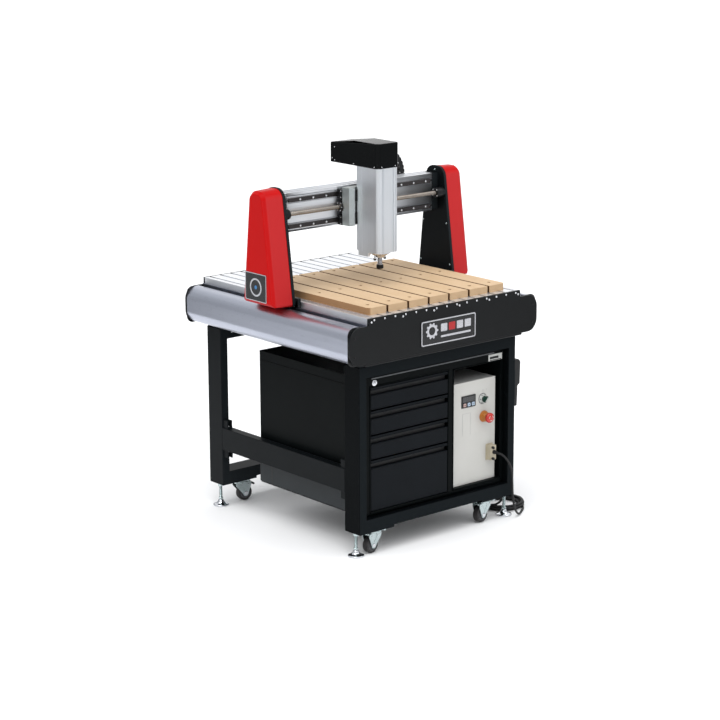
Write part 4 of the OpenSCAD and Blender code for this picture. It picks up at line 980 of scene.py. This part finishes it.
for s in (-1, 1):
    x = s * 340.4
    k.prism(rrect(98, 150, 104, 222, 1.5), "x", min(x, x + s * 0.3), max(x, x + s * 0.3))
k.make("side_panel_slots", "frame", PLASTIC, 0, slot="black_plastic")
# a light grey strip along the top of the cabinet face: a painted highlight, the reflection along its upper edge
k = Kit()
k.prism(rrect(-300, 636.4, 290, 641.0, 1.6), "y", CF - 1.0, CF + 0.4)
k.make("cabinet_painted_highlight_strip", "frame", CABINET_HIGHLIGHT_PAINT, 0.3, 1, slot="steel")
DR = [(526, 606), (435, 520), (346, 429), (156, 340)]
for i, (a, b) in enumerate(DR, 1):                       # rolled lips above and below each finger channel, and the channel's dark throat
    k = Kit()
    k.use(0).prism(rounded([(CF - 1.6, b - 28.6, 0.8), (CF + 3, b - 28.6, 0.8), (CF + 3, b - 31.2, 0.8), (CF - 1.6, b - 31.2, 0.8)][::-1], 4), "x", -300.6, 60.6)
    k.prism(rounded([(CF - 1.6, b - 7.2, 0.8), (CF + 3, b - 7.2, 0.8), (CF + 3, b - 9.8, 0.8), (CF - 1.6, b - 9.8, 0.8)][::-1], 4), "x", -300.6, 60.6)
    k.prism(rrect(-301.2, a + 0.8, 61.2, a + 4.0, 1.2), "y", CF - 0.9, CF + 1)
    k.use(1).prism(rrect(-301, b - 27.8, 61, b - 10.2, 0.4), "y", CF + 14.4, CF + 15.2)
    k.make("drawer_%d_lips" % i, "tool_drawer_%d" % i, [BLACK2, PLASTIC], 0.4, 2, slot="frame_black")
k = Kit()
k.use(0).lathe([(0, 4.6), (5.4, 4.6), (5.8, 4.2), (5.8, 3.0), (10.2, 3.0), (11.2, 2.2), (11.6, 0.2), (6.8, 0.2), (6.8, -14), (0, -14)], (-287, CF, 623), (0, -1, 0), 48)
k.prism([(-292, 609), (-282, 609), (-282, 626), (-292, 626)], "y", CF + 14, CF + 17)
k.use(1).prism(rrect(-288.1, 618.8, -285.9, 627.2, 0.8), "y", CF - 4.75, CF - 4.5)
k.make("cabinet_lock", "lock", [CHROME, DARK], 0.2, 1, slot="zinc", replaces="lock_barrel")

# ---------------------------------------------------------------- control box and its parts
BF = -400.0
k = Kit()
front_pts = rrect(104, 158, 314, 545, 3.0, 4)
k.use(0).prism(front_pts, "y", BF, BF + 2.5)
k.use(1)
outer = rrect(104.4, 158.4, 313.6, 544.6, 2.6, 4)
k.prism(outer, "y", BF + 2.5, -150)
k.make("control_box_shell", "frame", [BOXG, BOXD], 0.7, 2, slot="box_grey", replaces="control_box")
k = Kit()                                                # faint recessed-looking guide: a thin raised outline and corner screws
for x0_, x1_, z0_, z1_ in ((150, 190, 426.2, 427.2), (150, 151, 344, 427), (189, 190, 344, 427)):
    k.use(0).prism(rrect(x0_, z0_, x1_, z1_, 0.3, 2), "y", BF - 0.5, BF + 0.2)
for x in (111, 307):
    for z in (165, 538):
        k.use(1).button_head((x, BF, z), (0, -1, 0), 2.7, 1.4)
for x, h in ((251, 7.0), (269, 5.5)):
    if x == 251:
        k.use(0).lathe([(2.6, -0.2), (2.6, 0.4), (3.6, 0.4), (3.6, -0.2)], (x, BF, 501), (0, -1, 0), 20)
    else:
        k.use(0).prism(rrect(x - 0.6, 498, x + 0.6, 504.5, 0.3, 2), "y", BF - 0.4, BF + 0.2)
k.make("panel_marks", "frame", [BOXD, SCREW], 0, slot="box_grey")
k = Kit()
k.use(0).prism(rrect(144, 449, 214, 494, 3), "y", BF - 2.2, BF)
k.use(1).prism(rrect(149, 470, 209, 490, 1.6), "y", BF - 2.7, BF - 2.0)
k.use(2)
for j in range(4):                                       # four unlit seven-bar digits, all bars alike
    cx0 = 158 + j * 11.5
    for (a, b), (c3, d3) in (((0, 5), (14, 15)), ((0, 5), (7, 8)), ((0, 5), (0, 1)), ((-1, 0), (8, 14)), ((5, 6), (8, 14)), ((-1, 0), (1, 7)), ((5, 6), (1, 7))):
        k.prism([(cx0 + a, 472.5 + c3), (cx0 + b, 472.5 + c3), (cx0 + b, 472.5 + d3), (cx0 + a, 472.5 + d3)], "y", BF - 2.8, BF - 2.65)
k.use(0)
k.prism(rrect(149.4, 454.4, 208.6, 488.6, 1), "y", BF, BF + 14)
k.make("display_unit", "frame", [PLASTIC, SCREEN, HUB], 0.3, 2, slot="black_plastic", replaces="control_panel_parts")
for nm, x, m in (("stop", 158.5, KEYR), ("run", 179.5, KEYP), ("jog", 200.5, KEYP)):
    k = Kit()
    k.use(0).prism(rrect(x - 6.4, 453.6, x + 6.4, 466.4, 2.2), "y", BF - 4.6, BF - 2.0)
    k.use(1).prism(rrect(x - 6.0, 454, x + 6.0, 466, 1.8), "y", BF - 2.0, BF + 4)
    if nm == "stop":
        k.use(1).prism(rrect(x - 2.4, 457.6, x + 2.4, 462.4, 0.6), "y", BF - 4.85, BF - 4.5)
    elif nm == "run":
        k.use(1).prism([(x - 2.2, 457), (x + 3.0, 460), (x - 2.2, 463)], "y", BF - 4.85, BF - 4.5)
    else:
        k.use(1).lathe([(1.6, 0), (1.6, 0.3), (2.9, 0.3), (2.9, 0)], (x, BF - 4.55, 460), (0, -1, 0), 24)
    k.make("panel_key_" + nm, nm + "_key", [m, BADGE], 0.35, 2, slot="key_plastic", replaces="key_" + nm)
sx, sz = 250.0, 470.0
k = Kit()
k.use(0).lathe([(5.4, 0), (17.2, 0), (18.0, 0.8), (17.6, 2.2), (15.6, 3.2), (14.6, 6.4), (13.8, 8.0), (5.4, 8.0), (5.4, 0)], (sx, BF, sz), (0, -1, 0), 56)
for i in range(6):
    a = math.tau * i / 6
    k.use(1).lathe([(0, 3.0), (1.3, 3.0), (1.3, 7.2), (0, 7.6)], (sx + 15.2 * math.cos(a), BF, sz + 15.2 * math.sin(a)), (0, -1, 0), 10)
# a dark grey ring round the bezel's foot: painted shade along its edge
k.lathe([(18.2, -0.2), (19.8, -0.2), (19.8, 0.9), (18.2, 0.9), (18.2, -0.2)], (sx, BF, sz), (0, -1, 0), 56)
k.make("switch_bezel", "frame", [WHITEP, HUB], 0, slot="box_grey")
k = Kit()
k.use(0).lathe([(0, 14.6), (8, 14.6), (10.0, 13.8), (10.8, 12.0), (11.2, 8.4), (5, 8.4), (5, -12), (0, -12)], (sx, BF, sz), (0, -1, 0), 48)
handle = rounded([(-13.2, -3.4, 3.2), (13.2, -3.4, 3.2), (13.2, 3.4, 3.2), (-13.2, 3.4, 3.2)], 6)
ca, sa = math.cos(math.radians(90 - 38)), math.sin(math.radians(90 - 38))
hp = [(sx + p * ca - q * sa, sz + p * sa + q * ca) for p, q in handle]
hq = [(sx + (p * ca - q * sa) * 0.86, sz + (p * sa + q * ca) * 0.86) for p, q in handle]
k.loft([[(x, BF - 13, z) for x, z in hp], [(x, BF - 22, z) for x, z in hp], [(x, BF - 24.5, z) for x, z in hq]])
mk = [(-11.2, -1.3), (11.4, -1.3), (11.4, 1.3), (-11.2, 1.3)]
k.use(1).prism([(sx + p * ca - q * sa, sz + p * sa + q * ca) for p, q in mk], "y", BF - 25.0, BF - 24.3)
k.make("switch_handle", "power_switch", [GREEN, WHITEP], 0.5, 2, slot="switch_green", replaces="switch_knob")
ex, ez = 256.0, 402.0
k = Kit()
k.use(0).lathe([(8.2, 0), (20.5, 0), (21.5, 1.0), (21.5, 3.0), (20.2, 4.6), (18.6, 5.4), (18.0, 14.0), (16.6, 15.4), (16.0, 21.6), (8.2, 21.6), (8.2, 0)], (ex, BF, ez), (0, -1, 0), 56)
for i in range(24):
    a = math.tau * i / 24
    k.lathe([(0, 5), (1.1, 5), (1.1, 12), (0, 12.6)], (ex + 18.2 * math.cos(a), BF, ez + 18.2 * math.sin(a)), (0, -1, 0), 8)
k.make("estop_base", "frame", [YELLOW], 0, slot="estop_red")
k = Kit()
k.use(0).lathe([(0, 42.0), (6, 41.9), (12, 41.0), (16.0, 39.2), (18.4, 36.4), (19.0, 33.0), (19.0, 30.6), (18.2, 28.8), (16.0, 28.0), (8, 28.0), (8, -20), (0, -20)], (ex, BF, ez), (0, -1, 0), 56)
for i in range(3):                                       # turn-to-release arrows as raised bars
    a0 = math.tau * i / 3
    inner_a = [(ex + 8.4 * math.cos(a0 + t * 0.2), ez + 8.4 * math.sin(a0 + t * 0.2)) for t in range(6)]
    outer_a = [(ex + 10.6 * math.cos(a0 + t * 0.2), ez + 10.6 * math.sin(a0 + t * 0.2)) for t in range(6)]
    k.use(1).prism(inner_a + outer_a[::-1], "y", BF - 42.0, BF - 40.6)
k.make("estop_button", "estop", [ESTOP, WHITEP], 0, slot="estop_red", replaces="estop_head")
k = Kit()
k.use(0).prism(rrect(271, 234, 299, 290, 3), "y", BF - 24, BF)
k.prism(rrect(267.5, 231, 302.5, 293, 3), "y", BF - 2.0, BF)
k.use(1)
for z in (241, 283):
    k.lathe([(0, 24), (4.2, 24), (4.2, 26), (5.2, 27), (5.2, 33), (4.4, 34), (0, 34)], (279, BF, z), (0, -1, 0), 24)
k.lathe([(0, 24), (8.2, 24), (8.2, 27), (7.2, 28), (7.0, 31)] + [(6.6 - 0.28 * i if i % 2 == 0 else 5.7 - 0.2 * i, 32 + i * 2.0) for i in range(6)] + [(4.4, 44), (4.3, 46), (0, 46)], (288, BF, 264), (0, -1, 0), 32)
k.use(2)
for z in (238.5, 289 - 3.5):
    k.lathe([(0, 2.0), (2.6, 2.0), (2.6, 3.0), (1.4, 3.6), (0, 3.6)], (297.5 + 2.0, BF, z), (0, -1, 0), 16)
k.make("lead_connector", "frame", [BEIGE, PLASTIC, SCREW], 0.6, 2, slot="beige", replaces="cable_connector")

# ---------------------------------------------------------------- hand controller on the right leg
k = Kit()
prof = rounded([(380.4, 424, 4), (395, 424, 5), (397, 470, 6), (398, 500, 4), (409, 508, 6), (411, 590, 9), (402, 600, 6), (380.4, 600, 4)], 6)
k.use(0).prism(prof, "y", -431.5, -360.5)
k.use(1)
for i in range(5):
    for j in range(3):
        if i < 4:
            cy, cz2 = -418 + j * 22, 436 + i * 15
            k.prism(rrect(cy - 6.5, cz2 - 4.5, cy + 6.5, cz2 + 4.5, 2), "x", 395.5, 398.6)
k.use(2).prism(rrect(-424, 522, -368, 582, 3), "x", 409.5, 411.2)
k.make("hand_controller", "frame", [PLASTIC, HUB, SCREEN], 2.2, 3, slot="black_plastic", replaces="hand_pendant")
k = Kit()
k.lathe([(0, 424), (7.6, 424), (7.6, 420)] + [(6.8 - 0.22 * i if i % 2 == 0 else 5.8 - 0.14 * i, 419 - i * 1.9) for i in range(6)] + [(4.4, 408), (0, 408)], (388, -396, 0), (0, 0, 1), 28)
k.make("controller_strain_relief", "frame", PLASTIC, 0, slot="black_plastic")
dress("pendant_holder", BLACK, 1.0)

# ---------------------------------------------------------------- floor, reflection walls and light
def stage_mat(name, col, rough=0.9, emit=None, strength=0.0):
    m = bpy.data.materials.new(name)
    m.use_nodes = True
    b = m.node_tree.nodes["Principled BSDF"]
    b.inputs["Base Color"].default_value = (*col, 1)
    b.inputs["Roughness"].default_value = rough
    b.inputs["Specular IOR Level"].default_value = 0.05
    if emit:
        b.inputs["Emission Color"].default_value = (*emit, 1)
        b.inputs["Emission Strength"].default_value = strength
    return m


def plane(name, pts, mat):
    me = bpy.data.meshes.new(name)
    me.from_pydata(pts, [], [tuple(range(len(pts)))])
    o = bpy.data.objects.new(name, me)
    me.materials.append(mat)
    S.collection.objects.link(o)
    return o


plane("floor", [(-60, -60, 0), (60, -60, 0), (60, 60, 0), (-60, 60, 0)], stage_mat("floor", (0.86, 0.86, 0.865), 1.0))


def wall(name, az0, az1, radius, z0, z1, level, tint=(1, 1, 1), n=10):
    """A curved studio card seen only in reflections, from one compass angle to another (0 is -Y, 90 is +X)."""
    vs, fs = [], []
    for i in range(n + 1):
        a = math.radians(az0 + (az1 - az0) * i / n)
        for z in (z0, z1):
            vs.append((radius * math.sin(a), -radius * math.cos(a), z))
    for i in range(n):
        fs.append((2 * i, 2 * i + 1, 2 * i + 3, 2 * i + 2))
    me = bpy.data.meshes.new(name)
    me.from_pydata(vs, [], fs)
    m = bpy.data.materials.new(name)
    m.use_nodes = True
    nt = m.node_tree
    nt.nodes.clear()
    e = nt.nodes.new("ShaderNodeEmission")
    e.inputs[0].default_value = (*tint, 1)
    e.inputs[1].default_value = level
    out = nt.nodes.new("ShaderNodeOutputMaterial")
    nt.links.new(e.outputs[0], out.inputs[0])
    me.materials.append(m)
    o = bpy.data.objects.new(name, me)
    S.collection.objects.link(o)
    o.visible_camera = o.visible_diffuse = o.visible_shadow = o.visible_transmission = False
    return o


COOL = (0.96, 0.98, 1.0)
wall("card_left_rear", -180, -142, 2.7, 0.0, 1.1, 0.30, COOL, 12)
wall("card_left", -142, -90, 2.7, 0.0, 1.1, 0.62, COOL, 16)
wall("card_left_front", -90, -30, 2.7, 0.0, 1.1, 0.35, COOL, 16)
wall("card_front_low", -30, 41, 2.7, 0.0, 0.34, 0.62, COOL, 16)
wall("card_front", -30, 62, 2.7, 0.34, 1.1, 0.86, COOL, 20)
wall("card_right_low", 41, 110, 2.7, 0.0, 0.34, 0.10, COOL, 16)
wall("card_right", 62, 110, 2.7, 0.34, 1.1, 0.6, COOL, 16)
wall("card_rear", 110, 180, 2.7, 0.0, 1.1, 0.6, COOL, 16)
wall("card_high", -180, 90, 2.7, 1.1, 2.3, 0.62, COOL, 48)
wall("card_high_rear", 90, 180, 2.7, 1.1, 2.9, 1.12, (1, 1, 1), 24)
wall("strip_front_left", -57, -45, 2.5, 0.1, 2.2, 1.5)

w = bpy.data.worlds.new("studio")
S.world = w
w.use_nodes = True
nt = w.node_tree
nt.nodes.clear()
bg = nt.nodes.new("ShaderNodeBackground")
out = nt.nodes.new("ShaderNodeOutputWorld")
nt.links.new(bg.outputs[0], out.inputs[0])
bg.inputs[0].default_value = (0.97, 0.985, 1.0, 1)
bg.inputs[1].default_value = 0.86


def sun(name, az, el, power, angle, col=(1, 1, 1)):
    l = bpy.data.lights.new(name, "SUN")
    l.energy, l.angle, l.color = power, math.radians(angle), col
    o = bpy.data.objects.new(name, l)
    a, e = math.radians(az), math.radians(el)
    d = Vector((math.sin(a) * math.cos(e), -math.cos(a) * math.cos(e), math.sin(e)))
    o.rotation_mode = "QUATERNION"
    o.rotation_quaternion = (-d).to_track_quat("-Z", "Y")
    S.collection.objects.link(o)
    return o


sun("key_light", -70, 60, 1.45, 52)
sun("fill_light", 20, 68, 1.25, 76)
S.view_settings.view_transform = "Standard"
S.view_settings.look = "None"
S.view_settings.exposure = 0.0
